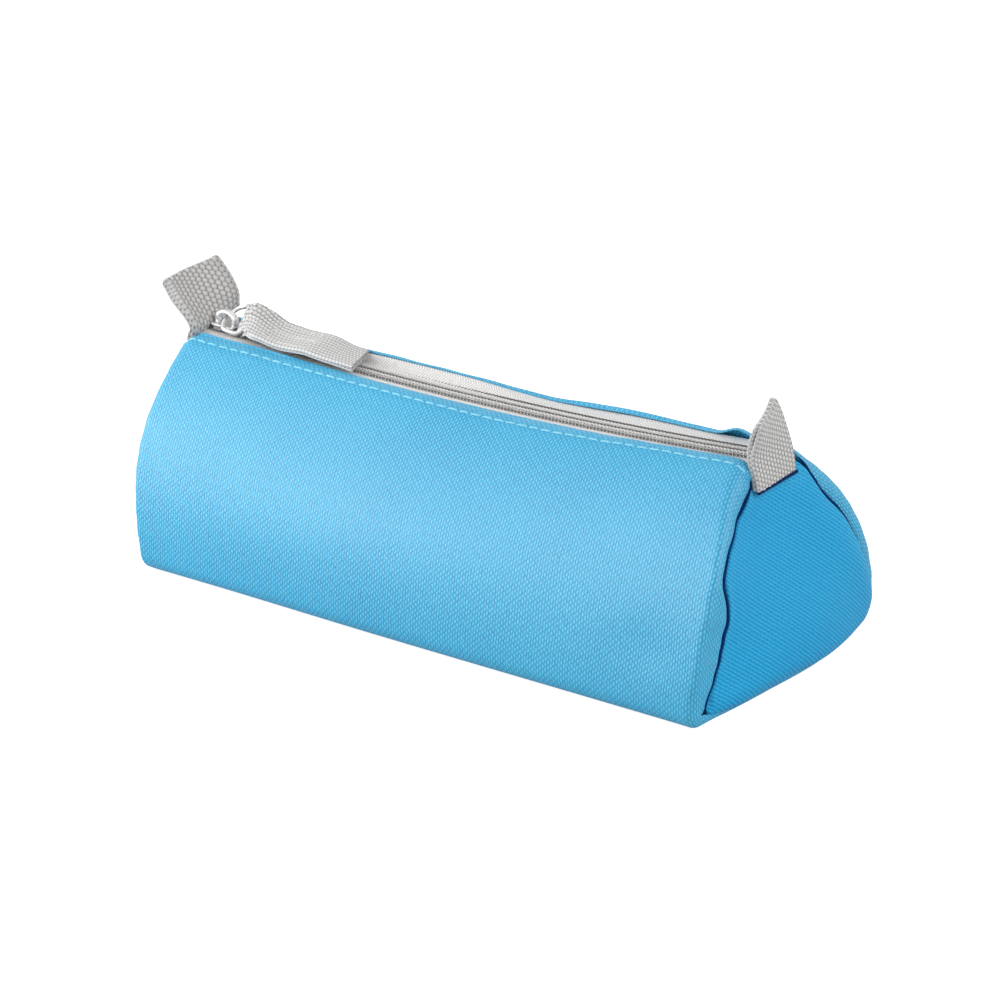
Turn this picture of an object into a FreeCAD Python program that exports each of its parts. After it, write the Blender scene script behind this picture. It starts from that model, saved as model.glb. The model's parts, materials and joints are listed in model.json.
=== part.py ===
"""Zipped pencil case: a soft pouch with a flat base, a coil zip, a webbing pull and two end loops.

Millimetres and degrees. X runs along the case, -Y is the front, +Z is up. The origin is the middle
of the base, on the surface that the case rests on.
"""
import FreeCAD, Part
import math
import os
import Sketcher

SIZES = {
    # cloth shell
    "base_length": 200.0,
    "widest_half": 48.5,
    "base_corner_radius": 8.5,
    "base_flattening": 0.3,
    "flank_radius": 150.0,
    "shoulder_radius": 11.0,
    "top_flat_half": 10.0,
    "mouth_height": 64.8,
    "mouth_sag": 3.5,
    "mouth_width": 16.0,
    "left_overhang": 7.0,
    "right_setback": 5.0,
    "cloth": 1.2,
    "layer_gap": 0.05,
    # seams inside
    "binding_width": 9.0,
    "binding_cloth": 1.0,
    "binding_gap": 0.3,
    "seam_stitch_pitch": 6.0,
    "seam_stitch_length": 3.6,
    "thread": 0.45,
    # zip
    "tape": 0.6,
    "tape_inner_edge": 1.2,
    "tape_bend": 28.0,
    "coil_inner_edge": 0.1,
    "coil_width": 2.3,
    "coil_height": 1.3,
    "coil_end_gap": 3.0,
    "cord_radius": 0.35,
    "coil_stitch_from_coil": 0.15,
    "topstitch_from_edge": 3.0,
    "topstitch_pitch": 4.1,
    "topstitch_length": 3.1,
    # slider
    "slider_length": 9.6,
    "slider_nose_half": 4.1,
    "slider_tail_half": 3.7,
    "slider_plate": 0.95,
    "slider_corner": 0.9,
    "flange": 0.7,
    "flange_above_tape": 0.35,
    "post_half": 0.7,
    "post_length": 2.4,
    "crown_half": 1.3,
    "crown_half_length": 2.9,
    "crown_wall": 0.85,
    "moving_gap": 0.3,
    "slider_from_end": 0.9,
    # pull
    "wire_radius": 0.65,
    "ring_half": 5.3,
    "ring_length": 7.4,
    "ring_corner": 1.6,
    "ring_pitch": 8.0,
    "tab_ply": 0.8,
    "tab_width": 15.5,
    "tab_length": 45.6,
    "tab_throat": 6.0,
    "tab_slope": 1.4,
    "tab_eye_side_gap": 0.4,
    "tab_stitch_start": 14.0,
    "tab_stitch_zone": 15.0,
    "tab_stitch_inset": 2.5,
    # end loops
    "loop_width": 21.0,
    "loop_ply": 1.3,
    "left_loop_length": 16.0,
    "right_loop_length": 10.5,
    "loop_from_seam": 1.2,
    "loop_base_radius": 1.6,
    "loop_top_radius": 2.4,
    "left_loop_lean": 39.0,
    "right_loop_lean": 3.0,
}

# Distances that follow from the sizes, in the document's expression language.
HALF_BASE = "(Sizes.base_length / 2 - Sizes.cloth)"
LEFT_TILT = "atan(Sizes.left_overhang / Sizes.mouth_height)"
RIGHT_TILT = "atan(Sizes.right_setback / Sizes.mouth_height)"
MOUTH_MIDDLE_X = "((Sizes.right_setback + Sizes.left_overhang) / -2)"
HALF_MOUTH = f"({HALF_BASE} + (Sizes.left_overhang - Sizes.right_setback) / 2)"
MOUTH_RADIUS = f"(({HALF_MOUTH} ^ 2 + Sizes.mouth_sag ^ 2) / (2 * Sizes.mouth_sag))"
ARC_CENTRE_Z = f"(Sizes.mouth_height - Sizes.mouth_sag + {MOUTH_RADIUS})"
TAPE_TOP_RADIUS = f"({MOUTH_RADIUS} + Sizes.cloth + Sizes.layer_gap)"
TAPE_SHOULDER = "(Sizes.shoulder_radius - Sizes.cloth - Sizes.layer_gap)"
COIL_TOP = "(Sizes.layer_gap + Sizes.coil_height)"
COIL_CENTRE = "(Sizes.coil_inner_edge + Sizes.coil_width / 2)"
ZIP_SPAN = f"(2 * asin(({HALF_MOUTH} - Sizes.cloth) / {TAPE_TOP_RADIUS}))"
SLIDER_FROM_MIDDLE = f"({HALF_MOUTH} - Sizes.slider_from_end - Sizes.slider_length / 2)"
SLIDER_ANGLE = f"asin({SLIDER_FROM_MIDDLE} / {TAPE_TOP_RADIUS})"
POST_END = "(Sizes.post_length + Sizes.moving_gap - Sizes.slider_length / 2)"
PLATE_BOTTOM = f"({COIL_TOP} + Sizes.moving_gap)"
PLATE_TOP = f"({PLATE_BOTTOM} + Sizes.slider_plate)"
RING_HOLE = "(Sizes.wire_radius + Sizes.moving_gap)"
RING_AXIS_Z = f"({PLATE_TOP} + {RING_HOLE} + Sizes.moving_gap)"
CROWN_TOP = f"({RING_AXIS_Z} + {RING_HOLE} + Sizes.crown_wall)"
EYE_RADIUS = f"({RING_HOLE} + Sizes.tab_ply)"
EYE_WIDTH = "(2 * (Sizes.ring_half - Sizes.wire_radius - Sizes.tab_eye_side_gap))"

doc = FreeCAD.newDocument("pencil_case")
sheet = doc.addObject("Spreadsheet::Sheet", "Sizes")
for row, (alias, number) in enumerate(SIZES.items(), start=1):
    sheet.set(f"A{row}", alias)
    sheet.set(f"B{row}", str(number))
    sheet.setAlias(f"B{row}", alias)
doc.recompute()


def value(expression):
    """The number that an expression over the sheet gives now."""
    result = sheet.evalExpression(str(expression))
    return float(getattr(result, "Value", result))


def shifted(x, y, z, axis="0; 1; 0", angle="0"):
    """Expression for a placement: a shift, and a turn about one axis."""
    vector = "create(<<vector>>; {}; {}; {})".format(x, y, z)
    turn = f"create(<<rotation>>; create(<<vector>>; {axis}); {angle})"
    return f"create(<<placement>>; {vector}; {turn})"


def new_body(name, placement=None):
    body = doc.addObject("PartDesign::Body", name)
    body.Label = name
    if placement:
        body.setExpression("Placement", placement)
    return body


def plane(body, role):
    return next(f for f in body.Origin.OriginFeatures if f.Role == role)


def new_sketch(body, name, role, offset=None):
    sketch = body.newObject("Sketcher::SketchObject", f"{body.Name}_{name}")
    sketch.AttachmentSupport = (plane(body, role), [""])
    sketch.MapMode = "FlatFace"
    if offset:
        sketch.setExpression("AttachmentOffset", offset)
    return sketch


def bind(sketch, kind, places, expression):
    """A dimension on the sketch that follows an expression over the sheet."""
    index = sketch.addConstraint(Sketcher.Constraint(kind, *places, value(expression)))
    sketch.setExpression(f"Constraints[{index}]", str(expression))


def bind_point(sketch, geometry, position, across, up):
    bind(sketch, "DistanceX", (-1, 1, geometry, position), across)
    bind(sketch, "DistanceY", (-1, 1, geometry, position), up)


def point(across, up):
    return FreeCAD.Vector(across, up, 0)


def add_polygon(sketch, corners):
    """A closed polygon whose corners are pairs of expressions."""
    places = [point(value(across), value(up)) for across, up in corners]
    first = sketch.GeometryCount
    for start, end in zip(places, places[1:] + places[:1]):
        sketch.addGeometry(Part.LineSegment(start, end))
    for index, (across, up) in enumerate(corners):
        following = first + (index + 1) % len(corners)
        sketch.addConstraint(Sketcher.Constraint("Coincident", first + index, 2, following, 1))
        bind_point(sketch, first + index, 1, across, up)


def add_box(sketch, left, right, low, high):
    add_polygon(sketch, [(left, low), (right, low), (right, high), (left, high)])


def add_circle(sketch, across, up, radius):
    centre = point(value(across), value(up))
    normal = FreeCAD.Vector(0, 0, 1)
    index = sketch.addGeometry(Part.Circle(centre, normal, value(radius)))
    bind(sketch, "Radius", (index,), radius)
    if value(across) == 0 and value(up) == 0:
        sketch.addConstraint(Sketcher.Constraint("Coincident", index, 3, -1, 1))
    else:
        bind_point(sketch, index, 3, across, up)


def arc(centre, radius, start, end):
    """A counterclockwise arc between two angles in radians."""
    circle = Part.Circle(centre, FreeCAD.Vector(0, 0, 1), radius)
    return Part.ArcOfCircle(circle, start, end)


def chain(sketch, first, count, closed=True):
    """Joins neighbours end to start, each smoothly."""
    for index in range(count if closed else count - 1):
        following = first + (index + 1) % count
        sketch.addConstraint(Sketcher.Constraint("Tangent", first + index, 2, following, 1))


def pad(body, sketch, length, both_ways=True, reverse=False, pocket=False):
    kind = "PartDesign::Pocket" if pocket else "PartDesign::Pad"
    before = body.Shape.Volume if pocket else 0.0
    feature = body.newObject(kind, f"{sketch.Name}_{'cut' if pocket else 'pad'}")
    feature.Profile = sketch
    feature.Midplane = both_ways
    feature.Reversed = reverse
    feature.setExpression("Length", str(length))
    doc.recompute()
    if pocket and body.Shape.Volume >= before:
        raise ValueError(f"{feature.Name} cuts nothing")
    return feature


def cut(body, sketch, length, both_ways=True, reverse=False):
    return pad(body, sketch, length, both_ways, reverse, pocket=True)


# ---- cloth shell ----------------------------------------------------------------------------


def case_outline(sketch, inset, height):
    """One cross-section: flat base, rolled base corners, long flanks, rounded shoulders, flat top.

    inset moves the whole outline inwards; height is the top's height before the inset.
    """
    corner_across = "(Sizes.widest_half - Sizes.base_corner_radius)"
    corner_up = "(Sizes.base_corner_radius - Sizes.base_flattening)"
    shoulder_across = "Sizes.top_flat_half"
    shoulder_up = f"({height} - Sizes.shoulder_radius)"
    corner_radius = f"(Sizes.base_corner_radius - {inset})"
    flank_radius = f"(Sizes.flank_radius - {inset})"
    shoulder_radius = f"(Sizes.shoulder_radius - {inset})"
    corner = point(value(corner_across), value(corner_up))
    shoulder = point(value(shoulder_across), value(shoulder_up))
    # The flank's centre lies on one circle about each of the two smaller arcs' centres.
    to_corner = value(flank_radius) - value(corner_radius)
    to_shoulder = value(flank_radius) - value(shoulder_radius)
    between = shoulder - corner
    along = (to_corner**2 - to_shoulder**2 + between.Length**2) / (2 * between.Length)
    aside = math.sqrt(to_corner**2 - along**2)
    direction = point(between.x, between.y).normalize()
    flank = corner + direction * along + point(-direction.y, direction.x) * aside
    low = math.atan2(corner.y - flank.y, corner.x - flank.x)
    high = math.atan2(shoulder.y - flank.y, shoulder.x - flank.x)
    base = corner.y - value(corner_radius)
    top = shoulder.y + value(shoulder_radius)
    mirrored = [point(-centre.x, centre.y) for centre in (corner, flank, shoulder)]
    quarter = math.pi / 2
    sketch.addGeometry(
        [
            Part.LineSegment(point(-corner.x, base), point(corner.x, base)),
            arc(corner, value(corner_radius), -quarter, low),
            arc(flank, value(flank_radius), low, high),
            arc(shoulder, value(shoulder_radius), high, quarter),
            Part.LineSegment(point(shoulder.x, top), point(-shoulder.x, top)),
            arc(mirrored[2], value(shoulder_radius), quarter, math.pi - high),
            arc(mirrored[1], value(flank_radius), math.pi - high, math.pi - low),
            arc(mirrored[0], value(corner_radius), math.pi - low, 3 * quarter),
        ]
    )
    chain(sketch, 0, 8)
    for right, left, radius in ((1, 7, corner_radius), (2, 6, flank_radius), (3, 5, shoulder_radius)):
        bind(sketch, "Radius", (right,), radius)
        sketch.addConstraint(Sketcher.Constraint("Equal", right, left))
    bind_point(sketch, 1, 3, corner_across, corner_up)
    bind_point(sketch, 7, 3, f"-{corner_across}", corner_up)
    bind_point(sketch, 3, 3, shoulder_across, shoulder_up)
    bind_point(sketch, 5, 3, f"-{shoulder_across}", shoulder_up)


# Where the case's cross-sections stand: place along the base, tilt, height of the mouth there.
LEFT_END = (f"-{HALF_BASE}", LEFT_TILT, "Sizes.mouth_height")
MIDDLE = ("0", f"({LEFT_TILT} + {RIGHT_TILT}) / 2", "(Sizes.mouth_height - Sizes.mouth_sag)")
RIGHT_END = (HALF_BASE, RIGHT_TILT, "Sizes.mouth_height")


def inside_end(end, distance):
    """A cross-section a little way in from one end, on the same tilt, as high as the mouth is there."""
    along, tilt, height = end
    toward_middle = "+" if end is LEFT_END else "-"
    fall = f"Sizes.mouth_sag * (1 - (1 - ({distance}) / {HALF_MOUTH}) ^ 2)"
    return (f"({along} {toward_middle} ({distance}))", tilt, f"({height} - {fall})")


def station_sketch(body, name, station, inset, lower="0"):
    along, tilt, height = station
    offset = shifted(0, 0, along, "-1; 0; 0", tilt)
    sketch = new_sketch(body, name, "YZ_Plane", offset)
    case_outline(sketch, inset, f"({height} / cos({tilt}) - {lower})")
    return sketch


def loft(body, kind, name, sketches):
    feature = body.newObject(f"PartDesign::{kind}", f"{body.Name}_{name}")
    feature.Profile = sketches[0]
    feature.Sections = sketches[1:]
    doc.recompute()
    return feature


def shell(name, stations, inset, thickness, lower="0"):
    """A sleeve of cloth between cross-sections, open at both ends."""
    body = new_body(name)
    for kind, layer, offset in (
        ("AdditiveLoft", "outside", inset),
        ("SubtractiveLoft", "inside", f"({inset} + {thickness})"),
    ):
        sketches = [
            station_sketch(body, f"{layer}_{index}", station, offset, lower)
            for index, station in enumerate(stations)
        ]
        loft(body, kind, layer, sketches)
    return body


def open_top(body, half_width):
    sketch = new_sketch(body, "mouth", "XY_Plane", shifted(0, 0, "Sizes.mouth_height / 2"))
    add_box(sketch, "-Sizes.base_length", "Sizes.base_length", f"-{half_width}", half_width)
    cut(body, sketch, "Sizes.mouth_height", both_ways=False, reverse=True)


def flatten_base(body):
    """Takes off the thin sliver below the resting surface, so that the base is truly flat."""
    sketch = new_sketch(body, "underside", "XY_Plane")
    reach = "Sizes.base_length"
    add_box(sketch, f"-{reach}", reach, f"-{reach}", reach)
    cut(body, sketch, "Sizes.mouth_height", both_ways=False)


def make_main_panel():
    body = shell("main_panel", (LEFT_END, MIDDLE, RIGHT_END), "0", "Sizes.cloth")
    open_top(body, "(Sizes.mouth_width / 2)")
    flatten_base(body)


def make_end_panel(name, station):
    body = new_body(name)
    sketch = station_sketch(body, "outline", station, "0")
    pad(body, sketch, "Sizes.cloth", both_ways=False, reverse=station is LEFT_END)
    flatten_base(body)


def make_seam_binding(name, station):
    """The tape folded over the raw edges inside an end seam; it stops short of the zip."""
    stations = (station, inside_end(station, "Sizes.binding_width"))
    inset = "(Sizes.cloth + Sizes.layer_gap)"
    body = shell(name, stations, inset, "Sizes.binding_cloth", "Sizes.binding_gap")
    open_top(body, "(Sizes.top_flat_half + Sizes.shoulder_radius / 2 + 1)")


def thread_run(body_name, places, length, width):
    """A row of separate stitches, each a short flat bar lying at its own placement."""
    bars = []
    for placement in places:
        bar = Part.makeBox(length, width, width, FreeCAD.Vector(-length / 2, -width / 2, 0))
        bar.Placement = placement
        bars.append(bar)
    row_of_stitches = doc.addObject("Part::Feature", body_name)
    row_of_stitches.Label = body_name
    row_of_stitches.Shape = Part.makeCompound(bars)
    row_of_stitches.Placement = FreeCAD.Placement()


def make_seam_stitches(name, station, binding_name):
    """Stitches along the middle of the binding's inner face, from one side of the zip to the other."""
    line = inside_end(station, "Sizes.binding_width / 2")
    inset = "(Sizes.cloth + 2 * Sizes.layer_gap + Sizes.binding_cloth)"
    binding = doc.getObject(binding_name)
    sketch = station_sketch(binding, "stitch_line", line, inset, "Sizes.binding_gap")
    doc.recompute()
    normal = sketch.Placement.Rotation.multVec(FreeCAD.Vector(0, 0, 1))
    reach = value("Sizes.top_flat_half + Sizes.shoulder_radius / 2 + 2")
    top = value("Sizes.mouth_height / 2")
    length = value("Sizes.seam_stitch_length")
    places = []
    for edge in sketch.Shape.Edges:
        count = int(edge.Length // value("Sizes.seam_stitch_pitch"))
        for index in range(count):
            middle = (index + 0.5) / count * edge.Length
            start, end = (
                edge.valueAt(edge.getParameterByLength(distance))
                for distance in (middle - length / 2, middle + length / 2)
            )
            place = (start + end) / 2
            if place.z > top and abs(place.y) < reach:
                continue
            inward = normal.cross(end - start)
            if inward.dot(FreeCAD.Vector(0, -place.y, top - place.z)) < 0:
                inward = inward * -1
            rotation = FreeCAD.Rotation(end - start, FreeCAD.Vector(), inward, "XZY")
            places.append(FreeCAD.Placement(place, rotation))
    thread_run(name, places, length, value("Sizes.thread"))


# ---- zip ------------------------------------------------------------------------------------

REAR, FRONT = "rear", "front"


def zip_body(name, side, turn="0"):
    """A body at the centre of the mouth's long arc; the front half is the rear half turned round."""
    place = shifted(MOUTH_MIDDLE_X, 0, ARC_CENTRE_Z, "0; 1; 0", turn)
    if side == FRONT:
        place += " * " + shifted(0, 0, 0, "0; 0; 1", "180")
    return new_body(name, place)


def sweep_along_zip(body, sketch, span):
    feature = body.newObject("PartDesign::Revolution", f"{body.Name}_sweep")
    feature.Profile = sketch
    feature.ReferenceAxis = (plane(body, "Y_Axis"), [""])
    feature.Midplane = True
    feature.setExpression("Angle", span)
    doc.recompute()


def make_zip_tape(side):
    """Flat by the coil, then bent down under the cloth's shoulder."""
    body = zip_body(f"{side}_zip_tape", side)
    sketch = new_sketch(body, "section", "YZ_Plane")
    top = f"-{TAPE_TOP_RADIUS}"
    outer = TAPE_SHOULDER
    inner = f"({TAPE_SHOULDER} - Sizes.tape)"
    centre = point(value("Sizes.top_flat_half"), value(f"{top} - {outer}"))
    edge = value("Sizes.tape_inner_edge")
    end = math.radians(90 - value("Sizes.tape_bend"))
    quarter = math.pi / 2
    toward = point(math.cos(end), math.sin(end))
    high = centre.y + value(outer)
    low = centre.y + value(inner)
    sketch.addGeometry(
        [
            Part.LineSegment(point(edge, low), point(centre.x, low)),
            arc(centre, value(inner), end, quarter),
            Part.LineSegment(centre + toward * value(inner), centre + toward * value(outer)),
            arc(centre, value(outer), end, quarter),
            Part.LineSegment(point(centre.x, high), point(edge, high)),
            Part.LineSegment(point(edge, high), point(edge, low)),
        ]
    )
    for smooth in ((0, 2, 1, 2), (3, 2, 4, 1)):
        sketch.addConstraint(Sketcher.Constraint("Tangent", *smooth))
    for sharp in ((1, 1, 2, 1), (2, 2, 3, 1), (4, 2, 5, 1), (5, 2, 0, 1)):
        sketch.addConstraint(Sketcher.Constraint("Coincident", *sharp))
    sketch.addConstraint(Sketcher.Constraint("Coincident", 1, 3, 3, 3))
    sketch.addConstraint(Sketcher.Constraint("Horizontal", 0))
    sketch.addConstraint(Sketcher.Constraint("Vertical", 5))
    bind(sketch, "Radius", (1,), inner)
    bind(sketch, "Radius", (3,), outer)
    bind_point(sketch, 3, 3, "Sizes.top_flat_half", f"({top} - {outer})")
    bind(sketch, "DistanceX", (-1, 1, 0, 1), "Sizes.tape_inner_edge")
    bind(sketch, "DistanceX", (3, 3, 3, 1), f"({outer} * sin(Sizes.tape_bend))")
    bind(sketch, "DistanceX", (3, 3, 1, 1), f"({inner} * sin(Sizes.tape_bend))")
    sweep_along_zip(body, sketch, ZIP_SPAN)


COIL_START = f"asin(({SLIDER_FROM_MIDDLE} - {POST_END}) / {TAPE_TOP_RADIUS})"
COIL_END = f"asin(({HALF_MOUTH} - Sizes.cloth - Sizes.coil_end_gap) / {TAPE_TOP_RADIUS})"
COIL_SPAN = f"({COIL_START} + {COIL_END})"
COIL_TURN = f"(({COIL_START} - {COIL_END}) / 2)"
COIL_UP = f"(Sizes.layer_gap + Sizes.coil_height / 2 - {TAPE_TOP_RADIUS})"


def make_zip_coil(side):
    """The closed coil, an oval tube round its cord, from the slider's post to short of the right loop."""
    body = zip_body(f"{side}_zip_coil", side, COIL_TURN)
    sketch = new_sketch(body, "section", "YZ_Plane")
    radius = "(Sizes.coil_height / 2)"
    reach = f"(Sizes.coil_width / 2 - {radius})"
    left = point(value(f"{COIL_CENTRE} - {reach}"), value(COIL_UP))
    right = point(value(f"{COIL_CENTRE} + {reach}"), value(COIL_UP))
    rise = point(0, value(radius))
    quarter = math.pi / 2
    sketch.addGeometry(
        [
            Part.LineSegment(left - rise, right - rise),
            arc(right, value(radius), -quarter, quarter),
            Part.LineSegment(right + rise, left + rise),
            arc(left, value(radius), quarter, 3 * quarter),
        ]
    )
    chain(sketch, 0, 4)
    bind(sketch, "Radius", (1,), radius)
    bind_point(sketch, 1, 3, f"({COIL_CENTRE} + {reach})", COIL_UP)
    bind_point(sketch, 3, 3, f"({COIL_CENTRE} - {reach})", COIL_UP)
    add_circle(sketch, COIL_CENTRE, COIL_UP, "(Sizes.cord_radius + Sizes.layer_gap)")
    sweep_along_zip(body, sketch, COIL_SPAN)


def make_coil_cord(side):
    body = zip_body(f"{side}_coil_cord", side, COIL_TURN)
    sketch = new_sketch(body, "section", "YZ_Plane")
    add_circle(sketch, COIL_CENTRE, COIL_UP, "Sizes.cord_radius")
    sweep_along_zip(body, sketch, COIL_SPAN)


def make_coil_stitching(side):
    """The line of thread beside the coil that sews it to the tape."""
    body = zip_body(f"{side}_coil_stitching", side)
    sketch = new_sketch(body, "section", "YZ_Plane")
    low = f"(Sizes.layer_gap - {TAPE_TOP_RADIUS})"
    start = "(Sizes.coil_inner_edge + Sizes.coil_width + Sizes.coil_stitch_from_coil)"
    add_box(sketch, start, f"({start} + Sizes.thread)", low, f"({low} + Sizes.thread)")
    sweep_along_zip(body, sketch, ZIP_SPAN)


def make_topstitch(side):
    """One stitch, repeated along the mouth's edge about the arc's centre."""
    step = f"(Sizes.topstitch_pitch / {MOUTH_RADIUS} * 180 / pi)"
    count = int(value(f"2 * {HALF_MOUTH}") // value("Sizes.topstitch_pitch"))
    half_row = f"({step} * ({count} - 1) / 2)"
    turn = half_row if side == REAR else f"-{half_row}"
    body = zip_body(f"{side}_topstitch", side, turn)
    on_cloth = shifted(0, 0, f"Sizes.layer_gap / 2 - {MOUTH_RADIUS}")
    sketch = new_sketch(body, "stitch", "XY_Plane", on_cloth)
    across = "(Sizes.mouth_width / 2 + Sizes.topstitch_from_edge)"
    half_length = "(Sizes.topstitch_length / 2)"
    half_thread = "(Sizes.thread / 2)"
    add_box(
        sketch,
        f"-{half_length}",
        half_length,
        f"({across} - {half_thread})",
        f"({across} + {half_thread})",
    )
    stitch = pad(body, sketch, "Sizes.thread", both_ways=False)
    pattern = body.newObject("PartDesign::PolarPattern", f"{body.Name}_row")
    pattern.Originals = [stitch]
    pattern.Axis = (plane(body, "Y_Axis"), [""])
    pattern.Reversed = True
    pattern.Occurrences = count
    pattern.setExpression("Angle", f"{step} * ({count} - 1)")
    body.Tip = pattern
    doc.recompute()


# ---- slider and pull ------------------------------------------------------------------------

SLIDER_PLACE = shifted(
    f"({MOUTH_MIDDLE_X} - {SLIDER_FROM_MIDDLE})",
    0,
    f"({ARC_CENTRE_Z} - {TAPE_TOP_RADIUS} * cos({SLIDER_ANGLE}))",
    "0; 1; 0",
    SLIDER_ANGLE,
)
RING_PLACE = "slider_body.Placement * " + shifted(0, 0, RING_AXIS_Z, "0; 1; 0", "-Sizes.ring_pitch")
TAB_PLACE = "pull_ring.Placement * " + shifted(
    "Sizes.ring_length", 0, 0, "0; 1; 0", "(Sizes.ring_pitch + Sizes.tab_slope)"
)


def add_slider_outline(sketch):
    nose = "(Sizes.slider_length / -2)"
    tail = "(Sizes.slider_length / 2)"
    corners = [
        (nose, "-Sizes.slider_nose_half"),
        (tail, "-Sizes.slider_tail_half"),
        (tail, "Sizes.slider_tail_half"),
        (nose, "Sizes.slider_nose_half"),
    ]
    add_polygon(sketch, corners)


def upright_edges(plate):
    """Names of a plate's four upright edges."""
    depth = value("Sizes.slider_plate")
    return [
        f"Edge{index}"
        for index, edge in enumerate(plate.Shape.Edges, start=1)
        if abs(edge.BoundBox.ZLength - depth) < depth / 100
    ]


def round_corners(body, plate):
    edges = upright_edges(plate)
    rounded = body.newObject("PartDesign::Fillet", f"{plate.Name}_corners")
    rounded.Base = (plate, edges)
    rounded.setExpression("Radius", "Sizes.slider_corner")
    doc.recompute()


def make_slider():
    """One casting: two plates joined by a post at the nose, side flanges, and the ring's crown."""
    body = new_body("slider_body", SLIDER_PLACE)
    upper = new_sketch(body, "upper_plate", "XY_Plane", shifted(0, 0, PLATE_BOTTOM))
    add_slider_outline(upper)
    round_corners(body, pad(body, upper, "Sizes.slider_plate", both_ways=False))
    for side in ("-", ""):
        name = "flange_front" if side else "flange_rear"
        flange = new_sketch(body, name, "XY_Plane", shifted(0, 0, "Sizes.flange_above_tape"))
        edges = [f"{side}(Sizes.slider_tail_half - Sizes.flange)", f"{side}Sizes.slider_tail_half"]
        low, high = edges[::-1] if side else edges
        back = "(Sizes.slider_length / -2 + Sizes.post_length)"
        front = "(Sizes.slider_length / 2 - Sizes.slider_corner)"
        add_box(flange, back, front, low, high)
        height = f"({PLATE_BOTTOM} - Sizes.flange_above_tape + Sizes.slider_plate / 2)"
        pad(body, flange, height, both_ways=False)
    under_tape = "(Sizes.tape + Sizes.moving_gap)"
    post = new_sketch(body, "post", "XY_Plane", shifted(0, 0, f"-{under_tape}"))
    nose = "(Sizes.slider_length / -2)"
    near, far = f"({nose} + Sizes.moving_gap)", f"({nose} + Sizes.post_length)"
    add_box(post, near, far, "-Sizes.post_half", "Sizes.post_half")
    pad(body, post, f"({PLATE_BOTTOM} + {under_tape})", both_ways=False)
    lower_face = shifted(0, 0, f"-({under_tape} + Sizes.slider_plate)")
    lower = new_sketch(body, "lower_plate", "XY_Plane", lower_face)
    add_slider_outline(lower)
    pad(body, lower, "Sizes.slider_plate", both_ways=False)
    crown = new_sketch(body, "crown", "XZ_Plane")
    add_crown(crown)
    pad(body, crown, "(2 * Sizes.crown_half)")
    hole = new_sketch(body, "ring_hole", "XZ_Plane")
    add_circle(hole, 0, RING_AXIS_Z, RING_HOLE)
    cut(body, hole, "(4 * Sizes.crown_half)")


def add_crown(sketch):
    """A low hump over the plate with rounded ends, seen from the side."""
    half = value("Sizes.crown_half_length")
    low = value(PLATE_TOP) - value("Sizes.slider_plate") / 2
    high = value(CROWN_TOP)
    radius = value(f"{CROWN_TOP} - {RING_AXIS_Z} + Sizes.moving_gap")
    middle = high - radius
    inner = half - radius
    quarter = math.pi / 2
    sketch.addGeometry(
        [
            Part.LineSegment(point(-half, low), point(half, low)),
            Part.LineSegment(point(half, low), point(half, middle)),
            arc(point(inner, middle), radius, 0, quarter),
            Part.LineSegment(point(inner, high), point(-inner, high)),
            arc(point(-inner, middle), radius, quarter, math.pi),
            Part.LineSegment(point(-half, middle), point(-half, low)),
        ]
    )
    chain(sketch, 1, 5, closed=False)
    sketch.addConstraint(Sketcher.Constraint("Coincident", 0, 2, 1, 1))
    sketch.addConstraint(Sketcher.Constraint("Coincident", 5, 2, 0, 1))
    sketch.addConstraint(Sketcher.Constraint("Vertical", 1))
    sketch.addConstraint(Sketcher.Constraint("Vertical", 5))
    sketch.addConstraint(Sketcher.Constraint("Horizontal", 0))
    bind_point(sketch, 0, 1, "-Sizes.crown_half_length", f"({PLATE_TOP} - Sizes.slider_plate / 2)")
    bind(sketch, "DistanceX", (-1, 1, 0, 2), "Sizes.crown_half_length")
    for index in (2, 4):
        bind(sketch, "Radius", (index,), f"({CROWN_TOP} - {RING_AXIS_Z} + Sizes.moving_gap)")
    bind(sketch, "DistanceY", (-1, 1, 3, 1), CROWN_TOP)


def make_pull_ring():
    """Bent wire: a half circle through the crown, two legs, and a straight bar for the webbing."""
    body = new_body("pull_ring", RING_PLACE)
    path = new_sketch(body, "path", "XY_Plane")
    half = value("Sizes.ring_half")
    corner = value("Sizes.ring_corner")
    end = value("Sizes.ring_length")
    quarter = math.pi / 2
    near = end - corner
    side = half - corner
    path.addGeometry(
        [
            arc(point(half, 0), half, math.pi, 3 * quarter),
            Part.LineSegment(point(half, -half), point(near, -half)),
            arc(point(near, -side), corner, 3 * quarter, 4 * quarter),
            Part.LineSegment(point(end, -side), point(end, side)),
            arc(point(near, side), corner, 0, quarter),
            Part.LineSegment(point(near, half), point(half, half)),
            arc(point(half, 0), half, quarter, math.pi),
        ]
    )
    chain(path, 0, 7)
    bind(path, "Radius", (0,), "Sizes.ring_half")
    path.addConstraint(Sketcher.Constraint("Equal", 2, 4))
    path.addConstraint(Sketcher.Constraint("Coincident", 0, 3, 6, 3))
    path.addConstraint(Sketcher.Constraint("Coincident", 0, 1, -1, 1))
    path.addConstraint(Sketcher.Constraint("PointOnObject", 0, 3, -1))
    path.addConstraint(Sketcher.Constraint("Vertical", 3))
    bind(path, "Radius", (2,), "Sizes.ring_corner")
    bind(path, "DistanceX", (-1, 1, 3, 1), "Sizes.ring_length")
    wire = new_sketch(body, "wire", "XZ_Plane")
    add_circle(wire, 0, 0, "Sizes.wire_radius")
    doc.recompute()
    pipe = body.newObject("PartDesign::AdditivePipe", "pull_ring_bend")
    pipe.Profile = wire
    pipe.Spine = (path, [f"Edge{index}" for index in range(1, 8)])
    doc.recompute()
    section = math.pi * value("Sizes.wire_radius") ** 2
    if abs(pipe.Shape.Volume / (section * path.Shape.Length) - 1) > 0.01:
        raise ValueError("the ring's wire doesn't follow its path")


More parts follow.
